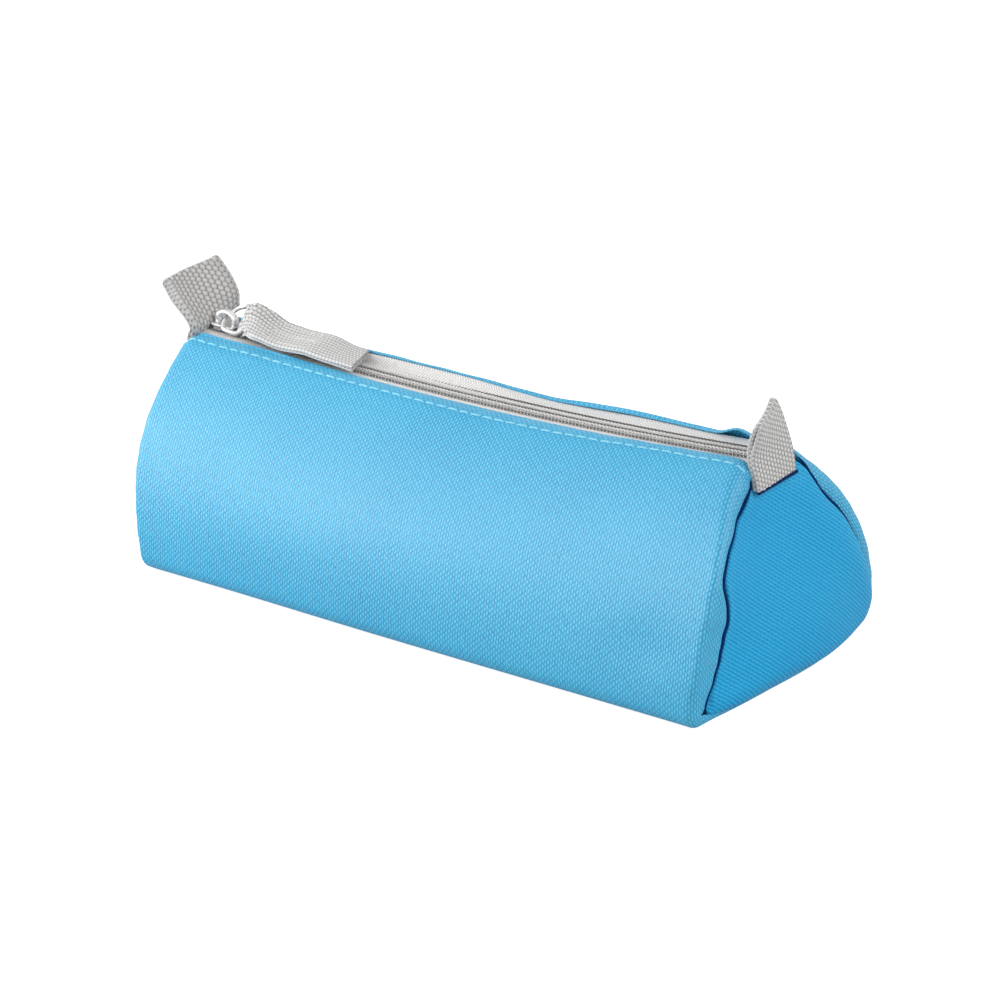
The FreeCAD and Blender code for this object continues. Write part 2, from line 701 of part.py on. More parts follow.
def make_pull_tab():
    """Webbing folded round the ring's bar: a narrow eye between the legs, then two plies at full width."""
    body = new_body("pull_tab", TAB_PLACE)
    eye = new_sketch(body, "eye", "XZ_Plane")
    add_circle(eye, 0, 0, EYE_RADIUS)
    pad(body, eye, EYE_WIDTH)
    throat = new_sketch(body, "throat", "XZ_Plane")
    start = f"({RING_HOLE} / 2)"
    add_polygon(
        throat,
        [
            (start, f"-{EYE_RADIUS} * 0.97"),
            ("Sizes.tab_throat", "-Sizes.tab_ply"),
            ("Sizes.tab_throat", "Sizes.tab_ply"),
            (start, f"{EYE_RADIUS} * 0.97"),
        ],
    )
    pad(body, throat, EYE_WIDTH)
    tail = new_sketch(body, "tail", "XZ_Plane")
    add_box(tail, f"({RING_HOLE} + Sizes.moving_gap)", "Sizes.tab_length", "-Sizes.tab_ply", "Sizes.tab_ply")
    pad(body, tail, "Sizes.tab_width")
    hole = new_sketch(body, "hole", "XZ_Plane")
    add_circle(hole, 0, 0, RING_HOLE)
    cut(body, hole, "(2 * Sizes.tab_width)")


def make_tab_stitches():
    """A sewn rectangle on top of the pull and the same one underneath, through both plies."""
    zone = value("Sizes.tab_stitch_zone")
    start = value("Sizes.tab_stitch_start")
    side = value("Sizes.tab_width / 2 - Sizes.tab_stitch_inset")
    length = value("Sizes.topstitch_length") * 0.8
    surface = value("Sizes.tab_ply + Sizes.layer_gap")
    runs = [
        (point(start, -side), point(start + zone, -side)),
        (point(start, side), point(start + zone, side)),
        (point(start, -side), point(start, side)),
        (point(start + zone, -side), point(start + zone, side)),
    ]
    tab = doc.getObject("pull_tab").Placement
    places = []
    for begin, end in runs:
        count = int((end - begin).Length // (length * 1.3))
        turn = math.degrees(math.atan2(end.y - begin.y, end.x - begin.x))
        for index in range(count):
            spot = begin + (end - begin) * ((index + 0.5) / count)
            for flip in (0, 180):
                lying = FreeCAD.Placement(
                    FreeCAD.Vector(spot.x, spot.y, surface),
                    FreeCAD.Rotation(FreeCAD.Vector(0, 0, 1), turn),
                )
                over = FreeCAD.Rotation(FreeCAD.Vector(1, 0, 0), flip)
                places.append(tab * FreeCAD.Placement(FreeCAD.Vector(), over) * lying)
    thread_run("pull_tab_stitches", places, length, value("Sizes.thread"))


# ---- end loops ------------------------------------------------------------------------------


def add_stretched_loop(sketch, bottom, bottom_radius, top, top_radius):
    """Two arcs of different radius, one above the other, joined by their tangents."""
    low = point(0, value(bottom))
    high = point(0, value(top))
    small = value(bottom_radius)
    large = value(top_radius)
    lift = math.asin((large - small) / (high.y - low.y))
    first = sketch.GeometryCount
    right = point(math.cos(lift), -math.sin(lift))
    left = point(-right.x, right.y)
    sketch.addGeometry(
        [
            Part.LineSegment(low + right * small, high + right * large),
            arc(high, large, -lift, math.pi + lift),
            Part.LineSegment(high + left * large, low + left * small),
            arc(low, small, math.pi + lift, 2 * math.pi - lift),
        ]
    )
    chain(sketch, first, 4)
    bind(sketch, "Radius", (first + 1,), top_radius)
    bind(sketch, "Radius", (first + 3,), bottom_radius)
    for index, up in ((first + 1, top), (first + 3, bottom)):
        sketch.addConstraint(Sketcher.Constraint("PointOnObject", index, 3, -2))
        if value(up) == 0:
            sketch.addConstraint(Sketcher.Constraint("PointOnObject", index, 3, -1))
        else:
            bind(sketch, "DistanceY", (-1, 1, index, 3), up)


def make_end_loop(name, along, length, lean, axis):
    """Folded webbing that flexes about its sewn base."""
    height = "(Sizes.mouth_height + Sizes.moving_gap + Sizes.loop_base_radius)"
    body = new_body(name, shifted(along, 0, height, axis, lean))
    outside = new_sketch(body, "outside", "XZ_Plane")
    top = f"({length} - Sizes.loop_top_radius)"
    add_stretched_loop(outside, "0", "Sizes.loop_base_radius", top, "Sizes.loop_top_radius")
    pad(body, outside, "Sizes.loop_width")
    inside = new_sketch(body, "inside", "XZ_Plane")
    add_stretched_loop(
        inside,
        "(2 * Sizes.loop_base_radius)",
        "(Sizes.loop_base_radius - Sizes.loop_ply)",
        top,
        "(Sizes.loop_top_radius - Sizes.loop_ply)",
    )
    cut(body, inside, "(2 * Sizes.loop_width)")


LEFT_LOOP_X = f"(-({HALF_BASE} + Sizes.left_overhang + Sizes.loop_from_seam))"
RIGHT_LOOP_X = f"({HALF_BASE} - Sizes.right_setback + Sizes.loop_from_seam)"


def build():
    make_main_panel()
    make_end_panel("left_end_panel", LEFT_END)
    make_end_panel("right_end_panel", RIGHT_END)
    for side, station in (("left", LEFT_END), ("right", RIGHT_END)):
        make_seam_binding(f"{side}_seam_binding", station)
        make_seam_stitches(f"{side}_seam_stitches", station, f"{side}_seam_binding")
    for side in (FRONT, REAR):
        make_zip_tape(side)
        make_zip_coil(side)
        make_coil_cord(side)
        make_coil_stitching(side)
        make_topstitch(side)
    make_slider()
    make_pull_ring()
    make_pull_tab()
    make_tab_stitches()
    make_end_loop(
        "left_end_loop", LEFT_LOOP_X, "Sizes.left_loop_length", "Sizes.left_loop_lean", "0; -1; 0"
    )
    make_end_loop(
        "right_end_loop", RIGHT_LOOP_X, "Sizes.right_loop_length", "Sizes.right_loop_lean", "0; 1; 0"
    )
    doc.recompute()


def check_and_export():
    for item in doc.Objects:
        if "Invalid" in item.State or "Error" in item.State:
            raise ValueError(f"{item.Name}: {item.State}")
    pieces = [o for o in doc.Objects if o.TypeId in ("PartDesign::Body", "Part::Feature")]
    for piece in pieces:
        if piece.Shape.isNull() or not piece.Shape.isValid() or not piece.Shape.Solids:
            raise ValueError(f"{piece.Label} has no valid solid")
    os.makedirs("parts", exist_ok=True)
    for piece in pieces:
        piece.Shape.exportStep(os.path.join("parts", f"{piece.Label}.step"))
        print(piece.Label, len(piece.Shape.Solids), round(piece.Shape.Volume, 2))


build()
check_and_export()
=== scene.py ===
"""Looks of the zipped pencil case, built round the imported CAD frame.

Lengths are in millimetres, in the frame's axes; add_mesh() turns them into metres. The case is sewn cloth with a
floppy shape, so its surfaces are lofted by code: a wrap with a flat base, rolled into the end seams, two pillowed
end panels, and a coil zip with real filament, thread and webbing.
"""

import json
from math import asin, atan2, cos, hypot, pi, radians, sin, tau

import bpy
import numpy as np
from mathutils import Matrix, Vector


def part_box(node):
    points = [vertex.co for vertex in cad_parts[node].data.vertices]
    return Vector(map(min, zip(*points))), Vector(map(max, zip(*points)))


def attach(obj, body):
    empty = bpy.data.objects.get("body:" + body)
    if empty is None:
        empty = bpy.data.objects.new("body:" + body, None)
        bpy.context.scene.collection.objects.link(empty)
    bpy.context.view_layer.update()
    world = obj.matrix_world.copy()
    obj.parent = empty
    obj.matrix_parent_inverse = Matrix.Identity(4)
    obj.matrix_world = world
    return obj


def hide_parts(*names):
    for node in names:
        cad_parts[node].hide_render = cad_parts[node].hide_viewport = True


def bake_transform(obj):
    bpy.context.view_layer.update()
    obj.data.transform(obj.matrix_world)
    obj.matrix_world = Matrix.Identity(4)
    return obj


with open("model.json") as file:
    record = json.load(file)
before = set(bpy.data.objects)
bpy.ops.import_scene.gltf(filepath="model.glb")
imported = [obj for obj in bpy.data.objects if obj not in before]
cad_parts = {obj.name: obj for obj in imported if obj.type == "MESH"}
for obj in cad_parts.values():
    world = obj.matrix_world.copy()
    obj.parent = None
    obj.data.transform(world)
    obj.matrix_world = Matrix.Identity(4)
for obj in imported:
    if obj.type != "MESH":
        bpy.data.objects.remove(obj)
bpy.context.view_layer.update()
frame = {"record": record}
JOINTS = {j["name"]: j for j in frame["record"]["behaviour"]["joints"]}
MM = 0.001
FRONT, REAR = -1, 1
LEFT, RIGHT = -1, 1
BOTH_SIDES, BOTH_ENDS = ((FRONT, "front"), (REAR, "rear")), ((LEFT, "left"), (RIGHT, "right"))
COLUMN = {LEFT: 0, RIGHT: -1}  # the wrap's first and last column of points

# the zip lies on a long arc about an axis along Y, high above the case
MIDDLE_X, ARC_Z, TAPE_R = -6, 1485.912857, 1425.862857
MOUTH_Z, SAG, HALF_BASE = 64.8, 3.5, 98.8
LEAN = {LEFT: 7 / MOUTH_Z, RIGHT: -5 / MOUTH_Z}
CLOTH = 1.2
STITCH_IN, STITCH_PITCH = 4.5, 4.1


# ---- curves and small helpers ----


def keyed(t, *pairs):
    """A smooth curve through (position, value) pairs."""
    xs, ys = np.array(pairs, float).T
    t = np.clip(t, xs[0], xs[-1])
    slope = np.gradient(ys, xs)
    i = np.clip(np.searchsorted(xs, t, side="right") - 1, 0, len(xs) - 2)
    h = xs[i + 1] - xs[i]
    q = (t - xs[i]) / h
    start = (2 * q**3 - 3 * q**2 + 1) * ys[i] + (q**3 - 2 * q**2 + q) * h * slope[i]
    return start + (q**3 - q**2) * h * slope[i + 1] + (3 * q**2 - 2 * q**3) * ys[i + 1]


def hump(t, low, high):
    """0 at low and high, 1 halfway."""
    return np.sin(pi * np.clip((t - low) / (high - low), 0, 1)) ** 2


def bell(t, middle, width):
    return np.exp(-(((t - middle) / width) ** 2))


def ramp(t, low, high):
    """0 up to low, 1 from high on, eased between."""
    q = np.clip((t - low) / (high - low), 0, 1)
    return q * q * (3 - 2 * q)


def unit(v):
    return v / np.maximum(np.linalg.norm(v, axis=-1, keepdims=True), 1e-12)


def tangents(path):
    return unit(np.gradient(path, axis=0))


def upward(path):
    """The upper side of a line that runs to +X."""
    return np.cross(tangents(path), [0, 1, 0])


def ring_tangents(path):
    return unit(np.roll(path, -1, 0) - np.roll(path, 1, 0))


def lengths(points):
    """Distance along a line of points, from 0."""
    steps = np.linalg.norm(np.diff(points, axis=0), axis=-1)
    return join(0 * steps[:1], np.cumsum(steps, axis=0))


def stack(*values):
    """One array of points from their coordinates, each a number or an array."""
    return np.stack(np.broadcast_arrays(*values), -1)


def join(*blocks, axis=0):
    return np.concatenate(blocks, axis)


def look_up(at, run, rows):
    """Rows between the given ones, at places along run."""
    return np.stack([np.interp(at, run, column) for column in rows.T], -1)


def evened(path, step):
    """The same line in equal steps, with its corners eased."""
    run = lengths(path)
    path = look_up(np.arange(0, run[-1], step), run, path)
    for _ in range(4):
        path[1:-1] = (path[:-2] + 2 * path[1:-1] + path[2:]) / 4
    return path


def wander(*values, seed):
    """Smooth noise of about -1 to 1, the same each run, from a few crossing waves."""
    rng = np.random.default_rng(seed)
    total = 0
    for _ in range(5):
        turn = rng.uniform(0.6, 1.6, len(values)) * rng.choice([-1, 1], len(values))
        total = total + np.sin(sum(t * v for t, v in zip(turn, values)) + rng.uniform(0, 6.28))
    return total / 5**0.5


# ---- meshes ----


def add_object(name, data):
    item = bpy.data.objects.new(name, data)
    bpy.context.scene.collection.objects.link(item)
    return item


def add_mesh(name, points, faces, uv, material, replaces, body="case"):
    """A mesh object in metres from points in mm and blocks of faces with 3 or 4 corners."""
    mesh = bpy.data.meshes.new(name)
    points = points.reshape(-1, 3)
    faces = [join(*block) for block in ([f for f in faces if f.shape[1] == n] for n in (3, 4)) if block]
    corners = join(*[f.ravel() for f in faces]).astype(np.int32)
    sizes = join(*[np.full(len(f), f.shape[1], np.int32) for f in faces])
    mesh.vertices.add(len(points))
    mesh.vertices.foreach_set("co", (points * MM).ravel())
    mesh.loops.add(len(corners))
    mesh.loops.foreach_set("vertex_index", corners)
    mesh.polygons.add(len(sizes))
    mesh.polygons.foreach_set("loop_start", join([0], np.cumsum(sizes)[:-1]).astype(np.int32))
    layer = mesh.uv_layers.new(name="UVMap")
    layer.data.foreach_set("uv", (uv.reshape(-1, 2)[corners] * MM).ravel())
    mesh.polygons.foreach_set("use_smooth", np.ones(len(sizes), bool))
    mesh.update(calc_edges=True)
    mesh.validate()
    mesh.materials.append(material)
    piece = add_object(name, mesh)
    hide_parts(*replaces)
    if body:
        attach(piece, body)
    return piece


def quads(rows, columns, ring=False, around=False, start=0, flip=False):
    """Faces of a grid of rows x columns points, row by row."""
    r = np.arange(rows if ring else rows - 1)
    c = np.arange(columns if around else columns - 1)
    r, c = np.meshgrid(r, c, indexing="ij")
    r2, c2 = (r + 1) % rows, (c + 1) % columns
    f = np.stack([r * columns + c, r2 * columns + c, r2 * columns + c2, r * columns + c2], -1).reshape(-1, 4)
    return (f[:, ::-1] if flip else f) + start


def strip(a, b, flip):
    """Faces between two lines of point numbers."""
    f = np.stack([a[:-1], a[1:], b[1:], b[:-1]], -1)
    return f[:, ::-1] if flip else f


def fan(ring, centre, flip=False):
    f = np.stack([ring, np.roll(ring, -1), np.full(len(ring), centre)], -1)
    return f[:, ::-1] if flip else f


class Parts:
    """Collects several closed shapes for one mesh."""

    def __init__(self):
        self.points, self.faces, self.uv, self.count = [], [], [], 0

    def add(self, points, faces, uv=None):
        points = points.reshape(-1, 3)
        self.points.append(points)
        self.faces += [f + self.count for f in faces]
        self.uv.append(np.zeros((len(points), 2)) if uv is None else uv.reshape(-1, 2))
        self.count += len(points)
        return self

    def make(self, name, slot, material, replaces, body="case", place=None):
        points = join(*self.points)
        if place is not None:
            points = points @ np.array(place.to_3x3()).T + np.array(place.translation)
        return add_mesh(name, points, self.faces, join(*self.uv), material, replaces, body)


def with_caps(path, grid, uv):
    """A tube's points and uv with a point added at the middle of each end."""
    points = join(grid.reshape(-1, 3), path[:1], path[-1:])
    return points, join(uv.reshape(-1, 2), uv[:1, 0], uv[-1:, 0])


def tube(path, radius, sides, closed=False):
    """Points, faces and uv of a round tube: a closed ring that lies about flat, or a line with rounded ends."""
    radius = radius * np.ones(len(path))
    if closed:
        tangent = ring_tangents(path)
        side = unit(np.cross([0, 0, 1], tangent))
    else:
        tangent = tangents(path)
        first, last = radius[0], radius[-1]
        shrink, past = np.array([[0.22, 0.66, 0.92], [0.97, 0.75, 0.4]])
        past = past[:, None]
        path = join(path[0] - tangent[0] * first * past, path, path[-1] + tangent[-1] * last * past[::-1])
        tangent = np.pad(tangent, ((3, 3), (0, 0)), "edge")
        radius = join(first * shrink, radius, last * shrink[::-1])
        side = [unit(np.cross(tangent[0], (0.123, 0.456, 0.879)))]
        for t in tangent[1:]:
            side.append(unit(side[-1] - t * (side[-1] @ t)))
        side = np.array(side)
    other = np.cross(tangent, side)
    turn = np.arange(sides) * tau / sides
    ring = np.cos(turn)[:, None] * side[:, None] + np.sin(turn)[:, None] * other[:, None]
    points = path[:, None] + radius[:, None, None] * ring
    faces = [quads(len(path), sides, ring=closed, around=True)]
    uv = stack(lengths(path)[:, None], turn * radius.mean())
    if not closed:
        base, centre = np.arange(sides), len(path) * sides
        faces += [fan(base, centre), fan(base + centre - sides, centre + 1, flip=True)]
        points, uv = with_caps(path, points, uv)
    return points, faces, uv


def ribbon(path, out, half_width, thickness, columns, edge, relief=None):
    """A flat woven strip along a path, as wide as Y: points, faces and uv. out points to its outer face.
    relief(along, across) lifts both faces; edge is the number of points round each edge."""
    n = len(path)
    width, half = (np.broadcast_to(v, n)[:, None] for v in (half_width, thickness / 2))
    flat = np.linspace(-1, 1, columns)
    turn = np.linspace(pi / 2, -pi / 2, edge + 2)[1:-1]
    side = join(flat, np.ones(edge), flat[::-1], -np.ones(edge))
    face = join(np.ones(columns), np.sin(turn), -np.ones(columns), -np.sin(turn))
    swell = join(np.zeros(columns), np.cos(turn), np.zeros(columns), -np.cos(turn))
    a = side * (width - half) + swell * half
    b = face * half
    along = np.broadcast_to(lengths(path)[:, None], a.shape)
    if relief is not None:
        b = b + relief(along, a) * face * ramp(1 - abs(side) + 0.03, 0, 0.05)
    grid = path[:, None] + a[..., None] * np.array([0, 1, 0]) + b[..., None] * out[:, None]
    m = a.shape[1]
    ring = np.arange(m)
    faces = [quads(n, m, around=True, flip=True), fan(ring, n * m, flip=True), fan(ring + (n - 1) * m, n * m + 1)]
    points, uv = with_caps(path, grid, stack(along, a + 40 * (face < 0)))
    return points, faces, uv


def beads(along, across, pitch, width):
    """Plump staggered ovals of a coarse weave: 1 on a yarn's crown, 0 in the gaps."""
    a = across / width + 1000.5
    column = np.floor(a)
    b = along / pitch + 0.5 * (column % 2)
    fa, fb = a - column - 0.5, b - np.floor(b) - 0.5
    return np.sqrt(np.maximum(0, 1 - (fa / 0.56) ** 2 - (fb / 0.56) ** 2))


# ---- materials ----


def srgb(r, g, b):
    """A linear colour from 0-255 values as a picture shows them."""
    done = [c / 255 / 12.92 if c / 255 <= 0.04045 else ((c / 255 + 0.055) / 1.055) ** 2.4 for c in (r, g, b)]
    return (*done, 1)


def add_node(tree, kind, inputs=(), operation=None):
    """A new node, each of whose inputs, by place or by name, is linked to a socket or set to a number."""
    node = tree.nodes.new(kind)
    if operation:
        node.operation = operation
    for key, item in inputs.items() if isinstance(inputs, dict) else enumerate(inputs):
        if isinstance(item, bpy.types.NodeSocket):
            tree.links.new(item, node.inputs[key])
        else:
            node.inputs[key].default_value = item
    return node


def new_material(name):
    material = bpy.data.materials.new(name)
    material.use_nodes = True
    return material


class Value:
    """A shader value that ordinary arithmetic can be done on."""

    def __init__(self, tree, socket):
        self.tree, self.socket = tree, socket

    def do(self, operation, *others):
        inputs = [item.socket if isinstance(item, Value) else item for item in (self, *others)]
        return Value(self.tree, add_node(self.tree, "ShaderNodeMath", inputs, operation).outputs[0])

    def __add__(self, other):
        return self.do("ADD", other)

    def __sub__(self, other):
        return self.do("SUBTRACT", other)

    def __mul__(self, other):
        return self.do("MULTIPLY", other)

    def __truediv__(self, other):
        return self.do("DIVIDE", other)


class Shader:
    """A Principled material with helpers for the patterns used here."""

    def __init__(self, name, **settings):
        self.material = new_material(name)
        self.tree = self.material.node_tree
        self.shader = self.tree.nodes["Principled BSDF"]
        for key, value in settings.items():
            self.shader.inputs[key.replace("_", " ")].default_value = value
        self.places = add_node(self.tree, "ShaderNodeTexCoord").outputs

    def feed(self, socket, name):
        self.tree.links.new(socket, self.shader.inputs[name])

    def uv(self):
        """The two UV numbers, in mm."""
        split = add_node(self.tree, "ShaderNodeSeparateXYZ", [self.places["UV"]])
        return tuple(Value(self.tree, split.outputs[i]) * 1000 for i in (0, 1))

    def noise(self, size, detail=2, stretch=(1, 1, 1), flat=False):
        """Noise of about 0 to 1 whose lumps are size mm across."""
        where = self.places["UV" if flat else "Object"]
        place = add_node(self.tree, "ShaderNodeMapping", {"Vector": where, "Scale": stretch})
        settings = {"Vector": place.outputs[0], "Scale": 1000 / size, "Detail": detail}
        return Value(self.tree, add_node(self.tree, "ShaderNodeTexNoise", settings).outputs[0])

    def colours(self, value, *stops):
        """Base colour from a value through (position, colour) stops."""
        node = add_node(self.tree, "ShaderNodeValToRGB", [value.socket])
        while len(node.color_ramp.elements) < len(stops):
            node.color_ramp.elements.new(0.5)
        for element, (position, colour) in zip(node.color_ramp.elements, stops):
            element.position, element.color = position, srgb(*colour)
        self.feed(node.outputs[0], "Base Color")

    def bump(self, value, depth):
        """Relief of depth mm."""
        settings = {"Strength": 1, "Distance": depth * MM, "Height": value.socket}
        self.feed(add_node(self.tree, "ShaderNodeBump", settings).outputs[0], "Normal")


def cloth_material(name, low, high, waves, rough=0.4, gloss=0.8):
    """Fine polyester weave: waves are (cycles a mm along u, along v, share); their crests meet in the grains."""
    s = Shader(name, Sheen_Weight=0.08, Sheen_Roughness=0.4, Specular_IOR_Level=gloss)
    u, v = s.uv()
    drift = s.noise(2.2, flat=True) * 0.3
    weave = None
    for along_u, along_v, share in waves:
        phase = (u + drift) * (tau * along_u) + (v + drift) * (tau * along_v)
        wave = phase.do("COSINE") * (share / 2)
        weave = wave + 0.5 if weave is None else weave + wave
    uneven = s.noise(0.9, flat=True, stretch=(1, 0.45, 1))
    s.colours(weave * 0.62 + uneven * 0.24 + s.noise(40) * 0.14, (0.3, low), (0.7, high))
    s.bump(weave + uneven * 0.4, 0.14)
    s.feed((weave * 0.1 + rough).socket, "Roughness")
    return s.material


def thread_material(name, low, high, pitch=0.55):
    """Twisted thread: fine slanting plies."""
    s = Shader(name, Roughness=0.55, Sheen_Weight=0.2, Sheen_Roughness=0.4)
    u, v = s.uv()
    twist = (u * (tau / pitch) + v * 5).do("SINE") * 0.5 + 0.5
    s.colours(twist * 0.6 + s.noise(2) * 0.4, (0.2, low), (0.8, high))
    s.bump(twist, 0.04)
    return s.material


def tape_material(name):
    """Zip tape: herringbone in bands along the tape."""
    s = Shader(name, Roughness=0.62, Sheen_Weight=0.25, Sheen_Roughness=0.5)
    u, v = s.uv()
    band = (v * 0.55).do("PINGPONG", 1)
    twill = ((u + band * 1.9) * (tau / 0.95)).do("SINE") * 0.5 + 0.5
    warp = (v * (tau / 0.42)).do("SINE") * 0.5 + 0.5
    value = twill * 0.55 + warp * 0.15 + s.noise(1.4, flat=True) * 0.3
    s.colours(value, (0.12, (186, 184, 182)), (0.45, (232, 230, 228)), (0.85, (248, 247, 246)))
    s.bump(twill + warp * 0.4, 0.09)
    return s.material


def webbing_material(name, pitch, width, low, middle, high):
    """Coarse webbing with fine filaments: the gaps between the yarns get painted shade, and the yarns' crowns stay
    pale.
    The yarns lie where beads() puts them."""
    s = Shader(name, Roughness=0.6, Sheen_Weight=0.2, Sheen_Roughness=0.5, Specular_IOR_Level=0.3)
    u, v = s.uv()
    a = v / width + 1000.5
    column = a.do("FLOOR")
    b = u / pitch + column.do("MODULO", 2) * 0.5
    fa = (a - column - 0.5) / 0.56
    fb = (b - b.do("FLOOR") - 0.5) / 0.56
    # painted shade: the colour runs from pale on each yarn's crown to dark in the gaps between yarns
    crown = ((fa * fa + fb * fb) * -1 + 1).do("MAXIMUM", 0).do("POWER", 0.6)
    strands = (u * (tau / 0.3) + s.noise(1.5, flat=True) * 3).do("SINE") * 0.5 + 0.5
    value = crown * 0.66 + strands * 0.1 + s.noise(0.9, flat=True) * 0.24
    s.colours(value, (0.1, low), (0.42, middle), (0.82, high))
    s.bump(strands * 0.25 + s.noise(0.5, flat=True) * 0.5, 0.05)
    return s.material


def metal_material(name):
    """Barrel-plated zinc: bright, with a slightly broken reflection."""
    s = Shader(name, Metallic=1)
    s.colours(s.noise(0.8, detail=4), (0.3, (212, 211, 210)), (0.7, (238, 238, 238)))
    s.feed((s.noise(0.35, detail=5) * 0.2 + 0.24).socket, "Roughness")
    s.bump(s.noise(0.25, detail=3), 0.006)
    return s.material


# The wrap's colours are whiter than the end cloth's: partly the cloth's own tint, partly painted sheen of the lit
# front.
CASE_CLOTH = cloth_material("case_cloth", (12, 134, 186), (76, 200, 238),
                            ((0.57, 0.61, 0.28), (0.57, -0.61, 0.28), (1.14, 0, 0.44)))
END_CLOTH = cloth_material("end_cloth", (0, 142, 202), (22, 182, 232),
                           ((0.57, 0.73, 0.66), (0, 1.05, 0.2), (-0.6, 0.33, 0.14)), rough=0.5, gloss=0.4)
# the binding tape's own dark navy, also used for the dark tubes of painted crevice and contact shade in add_binding
BINDING_AND_SEAM_SHADE = cloth_material("binding_tape_and_seam_shade", (0, 34, 84), (4, 54, 112), ((0.8, 0.8, 0.5), (0.8, -0.8, 0.5)),
                         rough=0.9, gloss=0.05)
CASE_THREAD = thread_material("case_thread", (120, 212, 240), (176, 236, 252))
TAPE = tape_material("tape_weave")
COIL = thread_material("coil_filament", (206, 204, 202), (240, 239, 238), pitch=3)
ZIP_THREAD = thread_material("zip_thread", (200, 198, 196), (240, 238, 236))
# dark grey thread: painted shade in the zip's grooves, its rear rib and the gaps between the coil's turns
GROOVE_SHADE_THREAD = thread_material("groove_thread_painted_shade", (70, 68, 66), (128, 126, 124))
WEB_THREAD = thread_material("webbing_thread", (200, 199, 198), (236, 235, 234))
# each webbing's low colour is the painted shade in the gaps between its yarns
LOOP_WEBBING = webbing_material("loop_webbing", 1.9, 1.6, (112, 111, 111), (170, 168, 167), (208, 206, 205))
RIB_WEBBING = webbing_material("ribbed_webbing", 1.35, 1.5, (92, 91, 91), (164, 163, 162), (222, 221, 220))
TAB_WEBBING = webbing_material("tab_webbing", 1.3, 1.5, (96, 95, 95), (188, 187, 186), (230, 229, 228))
METAL = metal_material("nickel")

# ---- the wrap: front, base and rear in one cloth ----

STATIONS, LIP_STATIONS = 150, 18
COUNTS = (14, 8, 46, 14, 6)  # points on the base, its corner, the flank, the shoulder and the flat by the mouth


def rear_edge(t):
    """Where the rear cloth's folded edge runs, behind the zip's middle."""
    return keyed(t, (-1, 8.6), (-0.45, 8), (0, 9.9), (0.27, 12.8), (0.6, 12.9), (0.8, 11.8), (1, 10))


def rear_lift(t):
    """How far the rear edge lies above the plain sag; front_lift is the same for the front."""
    return keyed(t, (-1, -0.8), (-0.8, 0.2), (-0.35, 2.1), (-0.1, 1.8), (0.2, -0.9), (0.5, -0.6), (0.8, -0.8),
                 (1, -0.2))


def front_lift(t):
    return -0.7 * (1 - ramp(t, -1, -0.72))


# each side's half width, the radii of its base corner, flank and shoulder, the flat by the mouth, and where its
# edge runs and how far that is lifted
SIDES = {
    FRONT: (lambda t: 47.9 + 0.7 * t, 4.5, 74, 11, 1, lambda t: 8 - front_lift(t), front_lift),
    REAR: (lambda t: 48.2 + 0 * t, 8, 100, 3.5, 0.4, rear_edge, rear_lift),
}


def half_section(side, t):
    """From the base's middle up to the mouth's edge: points (out, up) and outward normals, at stations t."""
    widest, corner, flank, shoulder, flat, edge_at, lift = SIDES[side]
    edge = edge_at(t)
    height = MOUTH_Z + lift(t) - SAG * (1 - t**2)
    cy, cz = widest(t) - corner, corner + 0 * t
    sy, sz = edge + flat, height - shoulder
    a1, a2 = flank - corner, flank - shoulder
    by, bz = sy - cy, sz - cz
    length = np.hypot(by, bz)
    along = (a1**2 - a2**2 + length**2) / (2 * length)
    aside = np.sqrt(a1**2 - along**2)
    fy, fz = cy + (by * along - bz * aside) / length, cz + (bz * along + by * aside) / length
    low, high = np.arctan2(cz - fz, cy - fy), np.arctan2(sz - fz, sy - fy)

    def arc(y, z, radius, start, end, count):
        turns = (start + (end - start) * q for q in np.arange(count) / count)
        return [stack(y + radius * np.cos(a), z + radius * np.sin(a), np.cos(a), np.sin(a)) for a in turns]

    def line(y0, y1, z, up, count):
        return [stack(y0 + (y1 - y0) * q, z, 0 * t, up) for q in np.arange(count + (up > 0)) / count]

    rows = line(0, cy, 0, -1, COUNTS[0]) + arc(cy, cz, corner, -pi / 2, low, COUNTS[1])
    rows += arc(fy, fz, flank, low, high, COUNTS[2]) + arc(sy, sz, shoulder, high, pi / 2, COUNTS[3])
    rows = np.array(rows + line(sy, edge, height, 1, COUNTS[4]))
    return rows[..., :2], rows[..., 2:]


def section(t):
    """The whole way round from the front mouth edge under the base to the rear one: points, normals and share.
    share is -1 at the front edge, 0 under the middle and 1 at the rear edge."""
    found = []
    for side in (FRONT, REAR):
        p, n = half_section(side, t)
        d = lengths(p)
        found.append((p * [side, 1], n * [side, 1], side * d / d[-1]))
    return tuple(join(a[::-1], b[1:]) for a, b in zip(*found))


